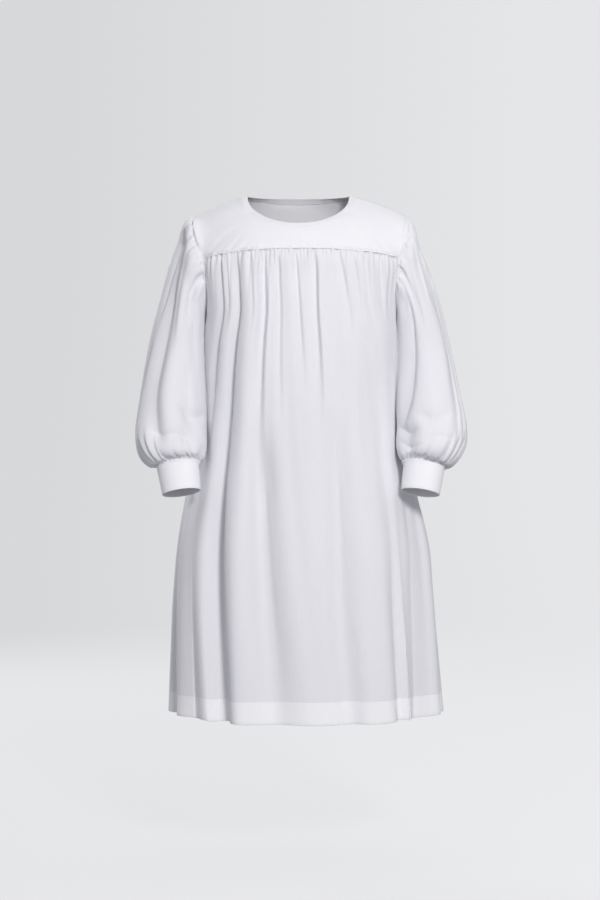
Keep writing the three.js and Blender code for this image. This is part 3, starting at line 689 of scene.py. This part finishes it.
def yoke_point(half, side, share, out):
    """Points of the yoke at shares of one side, and shares of the way from neck to edge."""
    neck = neck_point(half, side, share)
    line = yoke_edge_point(half, side, share) - neck
    level = np.hypot(line[..., 0], line[..., 1])
    up = np.stack([*(-line[..., k] * line[..., 2] / level for k in (0, 1)), level], -1)
    crown = along(CROWN[half], "share", share, "height")
    height = crown * 4 * out * (1 - out)
    return neck + line * out[..., None] + unit(up) * height[..., None]


def yoke_columns():
    """Signed places across a half of the yoke, -1 to 1 from the wearer's right to the left."""
    seam = np.linspace(0, CORNER_SHARE, YOKE_GRID["seam"] + 1)
    edge = np.linspace(CORNER_SHARE, 1, YOKE_GRID["edge"] + 1)[1:]
    one = np.concatenate([seam, edge])
    return np.concatenate([-one[:0:-1], one])


def yoke_surface(half, places, width_out, out_share):
    """The yoke's surface: out_share runs from width_out (mm from the neckline) to the edge."""
    share, out = np.broadcast_arrays(np.abs(places), out_share)
    points = np.zeros(share.shape + (3,))
    for side in SIDES.values():
        here = np.broadcast_to((places < 0) if side < 0 else (places >= 0), share.shape)
        line = yoke_edge_point(half, side, share) - neck_point(half, side, share)
        place = lerp(width_out / np.linalg.norm(line, axis=-1), 1, out)
        points = np.where(here[..., None], yoke_point(half, side, share, place), points)
    return points


def shoulder_gap(points, half, places):
    """Parts the two halves of the yoke at the shoulder by half the seam's gap."""
    apart = points.copy()
    apart[..., 1] += np.where(np.abs(places) == 1, HALVES[half] * SEAM_GAP / 2, 0)
    return apart


def evened(points, passes=480, lengthways_every=4):
    """Evens the yoke's surface between its edges, mostly from side to side."""
    even = points.copy()
    for k in range(passes):
        inner = even[1:-1]
        even[1:-1, 1:-1] = (inner[:, :-2] + 2 * inner[:, 1:-1] + inner[:, 2:]) / 4
        if k % lengthways_every == 0:
            even[1:-1, 1:-1] = (even[:-2] + 2 * even[1:-1] + even[2:])[:, 1:-1] / 4
    return even


def yoke(half):
    """A half of the yoke, with its grid."""
    places = yoke_columns()[None, :]
    out = np.linspace(0, 1, YOKE_GRID["rows"] + 1)[:, None]
    down = out * YOKE_FLAT["length"]
    points = evened(yoke_surface(half, places, NECK["band_width"] + SEAM_GAP, out))
    detail = YOKE_EDGE["rise"] * smoothstep(out, *YOKE_EDGE["over"]) + 0 * places
    detail = crinkled(f"{half}_yoke", detail, places * YOKE_CRINKLE_WIDTH, down)
    for at, lean, reach, depth, width in zip(*YOKE_CREASES.values()):
        offset = (places + HALVES[half] * (at + lean * (1 - out))) / width
        detail = detail + depth * np.exp(-(offset**2)) * smoothstep(out, 1 - reach, 1.0)
    keep = smoothstep(out, *YOKE_CALM["neck"]) * (1 - smoothstep(np.abs(places), *YOKE_CALM["shoulder"]))
    points = shoulder_gap(raised(points, detail * keep, False, YOKE_INSIDE), half, places)
    flat = np.stack(np.broadcast_arrays(places * YOKE_FLAT["half_width"], -down), -1)
    return wall_mesh(f"cloth_{half}_yoke", points, SINGLE_CLOTH, False, YOKE_INSIDE, flat), points


# Shares of the band's width, and of its rise over the yoke.
BAND_PROFILE = ((0.0, 0.0), (0.05, 0.5), (0.2, 0.9), (0.5, 1.0), (0.8, 0.9), (0.94, 0.5), (1.0, 0.1))
BAND_RISE = 0.3


def neck_band():
    """The faced band round the neckline, with its grid."""
    columns = yoke_columns()
    rows = []
    for share, height in BAND_PROFILE:
        width = NECK["band_width"] * share
        front, back = (band_row(half, columns, width, height) for half in HALVES)
        rows.append(smooth_ring(np.vstack([front[:-1], back[:0:-1]])))
    points = np.array(rows)
    reach = np.cumsum(np.linalg.norm(np.diff(points[0], axis=0, append=points[0][:1]), axis=1))
    u = np.concatenate([[0], reach])
    v = np.array([-share * NECK["band_width"] for share, _ in BAND_PROFILE])
    flat = np.stack(np.meshgrid(u, v), -1)
    return wall_mesh("cloth_neck_band", points, DOUBLE_CLOTH, True, YOKE_INSIDE, flat), points


def band_row(half, columns, width, height):
    at = yoke_surface(half, columns[None, :], width, np.zeros((1, 1)))
    return (at + (0, 0, BAND_RISE * height))[0]


def smooth_ring(row, passes=2):
    """Evens out the band where both halves of the yoke meet at the shoulder."""
    for _ in range(passes):
        row = (np.roll(row, 1, 0) + 2 * row + np.roll(row, -1, 0)) / 4
    return row


# ---------------------------------------------------------------- sleeves and cuffs

SLEEVE_GRID = {"edge": 96, "arc": 74}
# Rows of the sleeve's grid: up to which place among its rings, and how many.
SLEEVE_ROWS = ((2, 15), (6, 35), (8.5, 35), (13, 34))
FULL_CIRCLE = 360.0


def armhole_columns():
    """The armhole's columns: half, whether on the upper edge, share along it, and angle."""
    edge_shares = np.linspace(0, 1, SLEEVE_GRID["edge"] + 1)
    arc_shares = np.linspace(0, 1, SLEEVE_GRID["arc"] + 1)
    edge = [(True, 1 - t, t * CORNER_ANGLE) for t in edge_shares]
    arc = [(False, t, lerp(CORNER_ANGLE, FULL_CIRCLE / 2, t)) for t in arc_shares]
    run = edge[:-1] + arc
    front = [("front", *column) for column in run[:-1]]
    back = [("back", upper, share, FULL_CIRCLE - angle) for upper, share, angle in run[:0:-1]]
    return front + back


def armhole_loop(side):
    """Points and angles of one armhole, from the shoulder round the front."""
    columns = armhole_columns()
    points = []
    for half, upper, share, _ in columns:
        if upper:
            points.append(armhole_edge(half, side, np.array(share)))
        else:
            station, z = armhole_arc(half, share)
            points.append(folded_point(round_station(half, side, station), np.array(z)))
    return np.array(points), np.array([angle for *_, angle in columns])


def cuff_frame():
    top, bottom = np.array(CUFF_TOP["at"]), np.array(CUFF_BOTTOM["at"])
    axis = unit(bottom - top)
    wide = unit(np.array((1.0, 0, 0)) - axis * axis[0])
    return top, bottom, axis, wide, np.cross(axis, wide)


def cuff_ring(share, moved):
    top, bottom, axis, wide, deep = cuff_frame()
    centre = lerp(top, bottom, share) + axis * moved
    half_width = lerp(CUFF_TOP["half_width"], CUFF_BOTTOM["half_width"], share)
    half_depth = lerp(CUFF_TOP["half_depth"], CUFF_BOTTOM["half_depth"], share)
    return centre, wide * half_width, deep * half_depth


def ring_points(ring, turn):
    """Points at angles round a ring, from its centre and its half-axes."""
    centre, wide, deep = ring
    return centre + wide * np.cos(turn)[:, None] + deep * np.sin(turn)[:, None]


def centres(points):
    """The middle of each row of a closed grid, for all its points."""
    return np.broadcast_to(points.mean(1, keepdims=True), points.shape)


def sleeve_rings(side):
    """Centre, outward and forward half-axes of each ring, and its share of the armhole."""
    outer_x = SLEEVE["left_x"] if side > 0 else SLEEVE["right_x"]
    outer = np.stack([outer_x, SLEEVE["centre_y"], SLEEVE["outer_z"]], -1)
    inner = np.stack([SLEEVE["inner_x"], SLEEVE["centre_y"], SLEEVE["inner_z"]], -1)
    tilt = np.radians(SLEEVE["tilt"])
    deep = np.stack([0 * tilt, -np.cos(tilt), np.sin(tilt)], -1) * SLEEVE["half_depth"][:, None]
    rings = list(zip((outer + inner) / 2, (outer - inner) / 2, deep))
    rings += [cuff_ring(0, moved) for moved in (-SEAM_GAP - SLEEVE_END, -SEAM_GAP)]
    return np.array(rings), np.concatenate([SLEEVE["armhole"], [0, 0]])


def smooth_between(values, places):
    """Values of rows at fractional places, on a smooth curve through every row."""
    index = np.arange(len(values), dtype=float)
    columns = values.reshape(len(values), -1).T
    result = [along({"i": index, "v": column}, "i", places, "v") for column in columns]
    return np.array(result).T.reshape((len(places),) + values.shape[1:])


def sleeve_places():
    """Fractional ring numbers, closer together near the armhole and the cuff."""
    places, start = [], 0
    for end, rows in SLEEVE_ROWS:
        places += [*np.linspace(start, end, rows + 1)[:-1]]
        start = end
    return np.array([*places, start], float)


# Creases down a sleeve, as a line of angles round it (0 outwards, 90 forwards, 180 under the
# arm) at heights, with its depth and its half-widths in degrees.
SLEEVE_CREASES = {
    "right": (
        (((-75, 30), (-195, 45), (-315, 62), (-445, 58), (-545, 72)), -16, 15, 30),
        (((-130, 84), (-195, 98), (-280, 122), (-365, 134)), -5, 8, 18),
        (((-420, 118), (-480, 128), (-540, 150)), -5, 8, 18),
        (((-90, 62), (-230, 74), (-330, 84)), -4, 5, 10),
        (((-60, 48), (-180, 58), (-260, 66)), -4, 4, 9),
        (((-62, 12), (-170, 22), (-260, 28)), -6, 4, 9),
        (((-556, 8), (-604, 16)), -9, 6, 10),
        (((-556, 26), (-604, 31)), -9, 5, 9),
        (((-552, 42), (-604, 44)), -8, 4, 8),
        (((-560, 58), (-604, 57)), -7, 4, 8),
        (((-120, -30), (-300, -38), (-520, -52)), -8, 8, 16),
        (((-170, -75), (-340, -88), (-520, -95)), -7, 8, 16),
        (((-250, -130), (-400, -140), (-560, -150)), -6, 8, 16),
        (((-330, 22), (-470, 14), (-560, 22)), -6, 5, 12),
    ),
    "left": (
        (((-80, 104), (-175, 113), (-280, 117), (-385, 124), (-470, 139), (-515, 158)), -12, 22, 10),
        (((-155, 6), (-240, 27), (-320, 25), (-400, 30), (-560, 52)), -7, 14, 6),
        (((-200, 14), (-320, 14), (-430, 18), (-560, 36)), -5, 9, 5),
        (((-100, 72), (-200, 82), (-300, 86)), -4.5, 10, 5),
        (((-70, 50), (-150, 58), (-240, 62)), -4, 9, 4),
        (((-62, 34), (-170, 42), (-240, 46)), -4.5, 9, 4),
        (((-62, 18), (-160, 30), (-240, 36)), -5, 9, 4),
        (((-556, 8), (-604, 15)), -9, 10, 6),
        (((-552, 25), (-604, 30)), -9, 9, 5),
        (((-548, 41), (-604, 43)), -8, 8, 4),
        (((-560, 58), (-604, 56)), -7, 8, 4),
        (((-330, 70), (-430, 66), (-520, 60)), -2.4, 18, 12),
        (((-120, -34), (-300, -44), (-520, -58)), -8, 16, 8),
        (((-170, -80), (-340, -90), (-520, -98)), -7, 16, 8),
        (((-250, -128), (-400, -138), (-560, -146)), -6, 16, 8),
    ),
}
# Creases across a sleeve above the cuff: heights along a run of angles, depth, and the
# half-widths above and below.
SLEEVE_SWAGS = {
    "right": (
        (((56, -524), (84, -531), (110, -532), (138, -543)), 17, 13, 34),
        (((112, -480), (138, -494), (172, -496)), 12, 10, 22),
        (((-140, -540), (-90, -556), (-40, -546)), 9, 10, 18),
    ),
    "left": (
        (((122, -524), (142, -530), (172, -522)), 14, 11, 18),
        (((64, -490), (86, -500), (114, -496)), 11, 12, 28),
        (((112, -556), (140, -563), (164, -552)), 7, 8, 10),
        (((62, -544), (84, -538), (104, -548)), 8, 9, 16),
        (((-140, -540), (-90, -556), (-40, -546)), 9, 10, 18),
    ),
}
SWAG_SOFTNESS = 0.03
HEAD_GATHERS = {
    "count": 27,
    "spread": 112.0,
    "lengths": (34, 66, 130),
    "depths": (9.0, 15.0),
    "widths": (1.5, 2.7),
}
FOOT_GATHERS = {
    "count": 24,
    "spread": 178.0,
    "lengths": (16, 30, 50),
    "depths": (8.0, 14.0),
    "widths": (1.7, 3.0),
}
GATHER_SEEDS = {"left": (52, 72), "right": (50, 70)}
HEAD_PUFF = {"height": 9.0, "at": 26, "half_width": 30, "full_at": 9}
HEAD_FORM = {"at_seam": 0.06}
FOOT_FORM = {"at_seam": 0.05, "full_at": 18}
FOOT_REACH = {"least": 0.9, "more_outside": 1.6}
HEAD_END = (104, 128)  # degrees round the armhole where the gathers die away
UNDERARM_FOLD = {"height": 5.0, "degrees": 24, "full_at": 25}
SLEEVE_CLEAR = {"head": 40, "cuff": 30}  # mm from a seam to full creases
AGAINST_BODY = {"share": 0.7, "x": (212, 226)}
ARM_RADIUS = 62
MM_PER_DEGREE = math.radians(1) * ARM_RADIUS
SLEEVE_FLAT_RADIUS = 78


def faded(value, low, high, rise, fall):
    """1 between two limits and 0 far outside them, fading over (before, after) each."""
    risen = smoothstep(value, low - rise[0], low + rise[1])
    return risen * (1 - smoothstep(value, high - fall[0], high + fall[1]))


def sleeve_detail(name, points, degrees, seam_below, cuff_above):
    """Height of gathers, creases and crinkle over the sleeve's smooth form."""
    z = points[..., 2]
    turned = wrapped(degrees, FULL_CIRCLE)
    around = turned * MM_PER_DEGREE
    head, foot = (
        gather_lines(seed, **form) for seed, form in zip(GATHER_SEEDS[name], (HEAD_GATHERS, FOOT_GATHERS))
    )
    on_head = 1 - smoothstep(np.abs(turned), *HEAD_END)
    height = gather_height(head, around, seam_below, MM_PER_DEGREE, **HEAD_FORM) * on_head
    height += puff(seam_below, on_head, **HEAD_PUFF)
    under_arm = bump(np.abs(turned) - FULL_CIRCLE / 2, 1, UNDERARM_FOLD["degrees"])
    grown = smoothstep(seam_below, 0, UNDERARM_FOLD["full_at"])
    height += UNDERARM_FOLD["height"] * grown * under_arm
    reach = FOOT_REACH["least"] + FOOT_REACH["more_outside"] * np.cos(np.radians(turned)) ** 2
    height += gather_height(foot, around, cuff_above, MM_PER_DEGREE, reach=reach, **FOOT_FORM)
    clear = smoothstep(seam_below, 0, SLEEVE_CLEAR["head"])
    clear = clear * smoothstep(cuff_above, 0, SLEEVE_CLEAR["cuff"])
    for line, depth, to_left, to_right in SLEEVE_CREASES[name]:
        heights, angles = np.array(line, float).T
        at = along({"z": heights, "angle": angles}, "z", z, "angle")
        offset = wrapped(turned - at, FULL_CIRCLE)
        fade = faded(-z, -heights[0], -heights[-1], (45, 30), (60, 45))
        height += depth * fade * bump(offset, to_left, to_right) * clear
    for line, depth, above, under in SLEEVE_SWAGS[name]:
        angles, heights = np.array(line, float).T
        at = along({"angle": angles, "z": heights}, "angle", turned, "z")
        fade = faded(turned, angles[0], angles[-1], (14, 16), (16, 14))
        height -= depth * fade * valley(z - at, above, under, SWAG_SOFTNESS) * clear
    return crinkled(f"{name}_sleeve", height, around, z, clear)


def sleeve(name, side):
    loop, degrees = armhole_loop(side)
    rings, armhole = sleeve_rings(side)
    places = sleeve_places()
    shares = smooth_between(armhole[:, None], places)[:, 0]
    turn = np.radians(degrees)
    own = loop - ring_points(rings[0], turn) * MIRROR[side]
    rows = [ring_points(ring, turn) * MIRROR[side] for ring in smooth_between(rings, places)]
    points = np.array([row + own * share for row, share in zip(rows, shares)])
    points[0] += (side * SEAM_GAP, 0, 0)
    run = np.cumsum(np.linalg.norm(np.diff(points, axis=0), axis=-1), axis=0)
    seam_below = np.vstack([np.zeros((1, run.shape[1])), run])
    cuff_above = seam_below[-1] - seam_below
    detail = sleeve_detail(name, points, degrees, seam_below, cuff_above)
    points = raised(points, detail * inner_clearance(points, side), True, centres(points))
    points, seam_below = tuck_head(points, seam_below, side)
    points, seam_below = tuck_foot(points, seam_below)
    u = np.append(degrees, FULL_CIRCLE) * math.pi / 180 * SLEEVE_FLAT_RADIUS
    flat = np.stack(np.meshgrid(u, -seam_below.mean(1)), -1)
    return wall_mesh(f"cloth_{name}_sleeve", points, SINGLE_CLOTH, True, centres(points), flat)


def inner_clearance(points, side):
    """1 where the sleeve may stand proud, less where it lies against the body."""
    return lerp(AGAINST_BODY["share"], 1.0, smoothstep(side * points[..., 0], *AGAINST_BODY["x"]))


def tuck_head(points, seam_below, side):
    """Carries the sleeve's head on into the garment, behind the yoke and the panels."""
    ring = points[0]
    inwards = unit((ring.mean(0) - ring) * (0, 1, 1))
    rows = [ring + inwards * TUCK_DEPTH - (side * TUCK * share, 0, 0) for share in (1.0, 0.5)]
    below = np.array([seam_below[0] - TUCK, seam_below[0] - TUCK / 2])
    return np.vstack([np.array(rows), points]), np.vstack([below, seam_below])


def tuck_foot(points, seam_below):
    """Carries the sleeve's end on into the cuff."""
    *_, axis, _, _ = cuff_frame()
    ring = points[-1]
    inwards = unit(ring.mean(0) - ring)
    mirrored = axis * np.sign(ring.mean(0)[0]) * (1, 0, 0) + axis * (0, 1, 1)
    rows = [ring + inwards * CUFF_TUCK_DEPTH + mirrored * TUCK * share for share in (0.5, 1.0)]
    below = np.array([seam_below[-1] + TUCK / 2, seam_below[-1] + TUCK])
    return np.vstack([points, np.array(rows)]), np.vstack([seam_below, below])


CUFF_GRID = {"around": 144, "rows": 26}
CUFF = {"girth": 265, "length": 60, "radius": 42, "bulge": 0.36}


def cuff(name, side):
    """A plain cuff, with its grid."""
    degrees = np.linspace(0, FULL_CIRCLE, CUFF_GRID["around"], endpoint=False)
    turn = np.radians(degrees)
    shares = np.linspace(0, 1, CUFF_GRID["rows"] + 1)
    points = np.array([ring_points(cuff_ring(share, 0), turn) * MIRROR[side] for share in shares])
    down = -shares * CUFF["length"]
    bulge = CUFF["bulge"] * np.sin(shares * math.pi)[:, None] + 0 * turn
    across = np.cos(turn) * CUFF["radius"]
    detail = crinkled(f"{name}_cuff", bulge, across, down[:, None])
    points = raised(points, detail, True, centres(points))
    u = np.append(degrees, FULL_CIRCLE) / FULL_CIRCLE * CUFF["girth"]
    flat = np.stack(np.meshgrid(u, down), -1)
    doubled = np.ones(len(points), int)
    shell = wall_mesh(f"cloth_{name}_cuff", points, DOUBLE_CLOTH, True, centres(points), flat, doubled)
    return shell, points


# ---------------------------------------------------------------- stitching


def stitch_line(name, path, normals, closed):
    """A row of thread stitches lying on a path over the cloth."""
    if closed:
        path = np.vstack([path, path[:1]])
        normals = np.vstack([normals, normals[:1]])
    sides, rings, radius = STITCH["sides"], STITCH["rings"], STITCH["radius"]
    run = np.concatenate([[0], np.cumsum(np.linalg.norm(np.diff(path, axis=0), axis=1))])
    count = max(1, int(run[-1] / STITCH["pitch"]))
    starts = (np.arange(count) + 0.15) * run[-1] / count
    share = np.linspace(0, 1, rings)
    place = starts[:, None] + share * STITCH["length"]
    centre = np.stack([np.interp(place, run, path[:, k]) for k in range(3)], -1)
    up = unit(np.stack([np.interp(place, run, normals[:, k]) for k in range(3)], -1))
    aside = np.cross(unit(np.gradient(centre, axis=1)), up)
    arch = radius * (0.1 + 0.9 * np.sin(math.pi * share))[None, :, None]
    centre = centre + up * arch
    angles = np.linspace(0, 2 * math.pi, sides, endpoint=False)[:, None]
    spokes = aside[:, :, None] * np.cos(angles) + up[:, :, None] * np.sin(angles)
    girth = radius * np.sqrt(np.sin(math.pi * (0.06 + 0.88 * share)))
    vertices = (centre[:, :, None] + spokes * girth[None, :, None, None]).reshape(-1, 3)
    r, k = np.meshgrid(np.arange(rings - 1) * sides, np.arange(sides), indexing="ij")
    k2 = (k + 1) % sides
    tube = np.stack([r + sides + k, r + sides + k2, r + k2, r + k], -1).reshape(-1, 4)
    ends = np.array([(0, 1, 2, 3), (0, 3, 4, 5)])
    pattern = np.vstack([tube, ends, ends[:, ::-1] + (rings - 1) * sides])
    faces = (pattern[None] + (np.arange(count) * rings * sides)[:, None, None]).reshape(-1, 4)
    return linked_mesh(name, vertices * MM, faces)


def row_path(points, inside, row, closed):
    """A path over a grid of points at a fractional row, with its normals."""
    normals = grid_normals(points, closed, inside)
    low = min(int(row), len(points) - 2)
    t = row - low
    return lerp(points[low], points[low + 1], t), unit(lerp(normals[low], normals[low + 1], t))


def sewn(name, points, inside, row, material, closed=True, trim=0):
    """A line of stitches on a row of a grid, some columns short of the row's ends."""
    path, normals = row_path(points, inside, row, closed)
    kept = slice(trim, len(path) - trim)
    path, normals = path[kept], normals[kept]
    thread = stitch_line(name, path + normals * STITCH["radius"] * 0.5, normals, closed)
    thread.data.materials.append(material)
    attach(thread, "root")
    return thread


# ---------------------------------------------------------------- materials

WEAVE_PITCH = 0.00052  # metres from thread to thread
WAVE_PERIOD = math.pi / 10  # of Blender's wave texture at a scale of 1


def plug(made, **sockets):
    """Sets a shader node's inputs, each to a value or to another node's output."""
    for name, value in sockets.items():
        socket = made.inputs[name.replace("_", " ")]
        if isinstance(value, bpy.types.NodeSocket):
            made.id_data.links.new(value, socket)
        else:
            socket.default_value = value
    return made


def node(tree, kind, **sockets):
    return plug(tree.nodes.new(f"ShaderNode{kind}"), **sockets)


def combined(tree, operation, first, second):
    """The result of a sum on two outputs."""
    made = tree.nodes.new("ShaderNodeMath")
    made.operation = operation
    tree.links.new(first, made.inputs[0])
    tree.links.new(second, made.inputs[1])
    return made.outputs[0]


def colours(tree, factor, dark, light, positions=(0, 1)):
    """A colour between two, by a factor."""
    made = node(tree, "ValToRGB", Fac=factor)
    for stop, colour, position in zip(made.color_ramp.elements, (dark, light), positions):
        stop.position = position
        stop.color = (*colour, 1)
    return made.outputs["Color"]


def new_material(name):
    """A material with its node tree and its surface."""
    material = bpy.data.materials.new(name)
    material.use_nodes = True
    return material, material.node_tree, material.node_tree.nodes["Principled BSDF"]


def weave_height(tree, place):
    """Warp and weft threads going over and under each other."""
    waves = []
    for direction in ("X", "Y"):
        wave = node(tree, "TexWave", Vector=place, Scale=WAVE_PERIOD / WEAVE_PITCH / 2)
        plug(wave, Distortion=0.4, Detail_Scale=0.05)
        wave.bands_direction = direction
        waves.append(wave.outputs["Fac"])
    return combined(tree, "MAXIMUM", *waves)


def stretched_noise(tree, place, scale, detail):
    mapping = node(tree, "Mapping", Vector=place, Scale=scale)
    noise = node(tree, "TexNoise", Vector=mapping.outputs[0], Scale=1.0, Detail=detail)
    return noise.outputs["Fac"]


def cloth_material(name, light, dark):
    """Fine plain-weave cotton and polyester: slubs, a faint sheen, weave and crinkle."""
    material, tree, surface = new_material(name)
    flat_cloth = node(tree, "UVMap")
    flat_cloth.uv_map = "flat_cloth"
    place = flat_cloth.outputs["UV"]
    slub = stretched_noise(tree, place, (260.0, 26.0, 1.0), 3.0)
    cloud = stretched_noise(tree, place, (5.0, 3.0, 1.0), 2.0)
    tone = combined(tree, "MULTIPLY", slub, cloud)
    rough = node(tree, "MapRange", Value=cloud, To_Min=0.74, To_Max=0.9)
    creased = stretched_noise(tree, place, (120.0, 60.0, 1.0), 4.0)
    soft = node(tree, "Bump", Height=creased, Strength=0.35, Distance=0.0006)
    woven = node(tree, "Bump", Height=weave_height(tree, place), Normal=soft.outputs["Normal"])
    plug(woven, Strength=0.22, Distance=0.0002)
    plug(surface, Base_Color=colours(tree, tone, dark, light, (0.12, 0.42)))
    plug(surface, Roughness=rough.outputs["Result"], Normal=woven.outputs["Normal"])
    plug(surface, Specular_IOR_Level=0.25, Sheen_Weight=0.12, Sheen_Roughness=0.45)
    return material


def thread_material():
    """White polyester sewing thread, twisted."""
    material, tree, surface = new_material("sewing_thread")
    place = node(tree, "TexCoord").outputs["Object"]
    twist = node(tree, "TexWave", Vector=place, Scale=520.0)
    twist.bands_direction = "DIAGONAL"
    relief = node(tree, "Bump", Height=twist.outputs["Fac"], Distance=0.0001)
    colour = colours(tree, twist.outputs["Fac"], (0.74, 0.74, 0.77), (0.86, 0.86, 0.88))
    plug(surface, Base_Color=colour, Normal=relief.outputs["Normal"], Roughness=0.55)
    return material


# Painted light on the paper: the strength of its glow from its left to its right, brighter on the right.
PAPER_PAINTED_LIGHT = {"From_Min": -1.6, "From_Max": 1.6, "To_Min": 0.635, "To_Max": 0.735}


def paper_material():
    """Pale paper that glows with painted light, a little more on its right."""
    material, tree, surface = new_material("pale_paper")
    place = node(tree, "TexCoord").outputs["Object"]
    grain = node(tree, "TexNoise", Vector=place, Scale=0.25, Detail=1.0)
    across = node(tree, "SeparateXYZ", Vector=place)
    # painted light: the paper's emission stands in for lamp light falling on it, stronger towards its
    # right
    painted_light = node(tree, "MapRange", Value=across.outputs["X"], **PAPER_PAINTED_LIGHT)
    colour = colours(tree, grain.outputs["Fac"], (0.145, 0.146, 0.148), (0.16, 0.161, 0.163))
    plug(surface, Base_Color=colour, Roughness=0.95, Specular_IOR_Level=0.0)
    plug(surface, Emission_Color=(0.985, 0.99, 1.0, 1), Emission_Strength=painted_light.outputs["Result"])
    return material


# ---------------------------------------------------------------- the studio

FLOOR_Z = -1.494
STUDIO = {"centre": 3.0, "floor_radius": 6.0, "cove": 3.0, "wall": 6.0, "segments": 96, "cove_rows": 16}


def studio_floor():
    """A plain pale floor that sweeps up into a wall all round."""
    radius, cove, count = STUDIO["floor_radius"], STUDIO["cove"], STUDIO["segments"]
    turns = [k / STUDIO["cove_rows"] * math.pi / 2 for k in range(STUDIO["cove_rows"] + 1)]
    profile = [(STUDIO["centre"], 0.0)]
    profile += [(radius + cove * math.sin(t), cove * (1 - math.cos(t))) for t in turns]
    profile.append((radius + cove, STUDIO["wall"]))
    angles = [2 * math.pi * k / count for k in range(count)]
    vertices = [(0.0, 0.0, FLOOR_Z)]
    vertices += [(r * math.cos(a), r * math.sin(a), FLOOR_Z + z) for r, z in profile for a in angles]
    around = [(k, (k + 1) % count) for k in range(count)]
    faces = [(0, 1 + k, 1 + k2) for k, k2 in around]
    for ring in range(1, len(vertices) - count, count):
        faces += [(ring + k, ring + count + k, ring + count + k2, ring + k2) for k, k2 in around]
    floor = linked_mesh("studio_floor", vertices, faces)
    floor.data.materials.append(paper_material())
    floor.visible_shadow = False
    floor.visible_diffuse = False


def soft_light(name, at, target, size, power, colour=(1, 1, 1)):
    light = bpy.data.lights.new(name, "AREA")
    light.shape = "DISK"
    light.size = size
    light.energy = power
    light.color = colour
    lamp = bpy.data.objects.new(name, light)
    bpy.context.scene.collection.objects.link(lamp)
    lamp.location = at
    lamp.rotation_euler = (Vector(target) - Vector(at)).to_track_quat("-Z", "Y").to_euler()
    lamp.visible_camera = False


def lighting():
    world = bpy.data.worlds.new("studio")
    bpy.context.scene.world = world
    world.use_nodes = True
    sky = world.node_tree.nodes["Background"]
    sky.inputs["Color"].default_value = (0.93, 0.94, 1.0, 1)
    sky.inputs["Strength"].default_value = 0.35
    middle = (0, 0, -0.55)
    soft_light("key", (1.1, -4.1, 1.2), middle, 1.0, 136, (1.0, 0.99, 0.98))
    soft_light("fill", (-2.6, -3.6, 0.2), middle, 2.6, 7, (0.96, 0.97, 1.0))
    soft_light("top", (0.4, 0.6, 3.2), middle, 2.2, 18)
    soft_light("back", (-2.4, 3.4, 1.0), middle, 1.4, 90)


CAMERA = {"distance": 4.2, "x": -0.00225, "z": -0.5715, "view_height": 2.025, "sensor": 36.0}


def photo_camera():
    data = bpy.data.cameras.new("photo_view")
    data.sensor_fit = "VERTICAL"
    data.sensor_height = CAMERA["sensor"]
    data.lens = CAMERA["sensor"] * CAMERA["distance"] / CAMERA["view_height"]
    camera = bpy.data.objects.new("photo_view", data)
    bpy.context.scene.collection.objects.link(camera)
    camera.location = (CAMERA["x"], -CAMERA["distance"], CAMERA["z"])
    camera.rotation_euler = (math.pi / 2, 0, 0)
    bpy.context.scene.camera = camera


# ---------------------------------------------------------------- the garment


def cloth_piece(piece, node_name, materials):
    for material in materials:
        piece.data.materials.append(material)
    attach(piece, "root")
    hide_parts(node_name)


STITCH_ROWS = {
    "neck_band": (1.5, 4.4),
    "yoke": YOKE_GRID["rows"] - 1.2,
    "past_hem_seam": 0.5,
    "cuff": (1.1, CUFF_GRID["rows"] - 1.1),
}


def main():
    photo_camera()
    studio_floor()
    lighting()
    bpy.context.scene.view_settings.view_transform = "Standard"
    single = cloth_material("single_cloth", (0.793, 0.79, 0.823), (0.763, 0.76, 0.797))
    double = cloth_material("double_cloth", (0.90, 0.90, 0.925), (0.87, 0.87, 0.9))
    lined = cloth_material("lined_cloth", (0.835, 0.835, 0.865), (0.80, 0.80, 0.835))
    materials = (single, double)
    thread = thread_material()

    piece, points = neck_band()
    threads = [
        sewn(f"neck_stitches_{k}", points, YOKE_INSIDE, row, thread)
        for k, row in enumerate(STITCH_ROWS["neck_band"], 1)
    ]
    cloth_piece(piece, "neck_band", (lined,))

    for half in HALVES:
        node_name = f"{half}_yoke"
        piece, points = yoke(half)
        row = STITCH_ROWS["yoke"]
        threads = [sewn(f"{node_name}_stitches", points, YOKE_INSIDE, row, thread, closed=False, trim=2)]
        cloth_piece(piece, node_name, (lined,))

        node_name = f"{half}_panel"
        piece, points, inside, hem = panel(half)
        row = hem + STITCH_ROWS["past_hem_seam"]
        threads = [sewn(f"{half}_hem_stitches", points, inside, row, thread, closed=False, trim=1)]
        cloth_piece(piece, node_name, materials)

    for name, side in SIDES.items():
        piece = sleeve(name, side)
        cloth_piece(piece, f"{name}_sleeve", materials)
        piece, points = cuff(name, side)
        threads = [
            sewn(f"{name}_cuff_stitches_{k}", points, centres(points), row, thread)
            for k, row in enumerate(STITCH_ROWS["cuff"], 1)
        ]
        cloth_piece(piece, f"{name}_cuff", materials)


main()
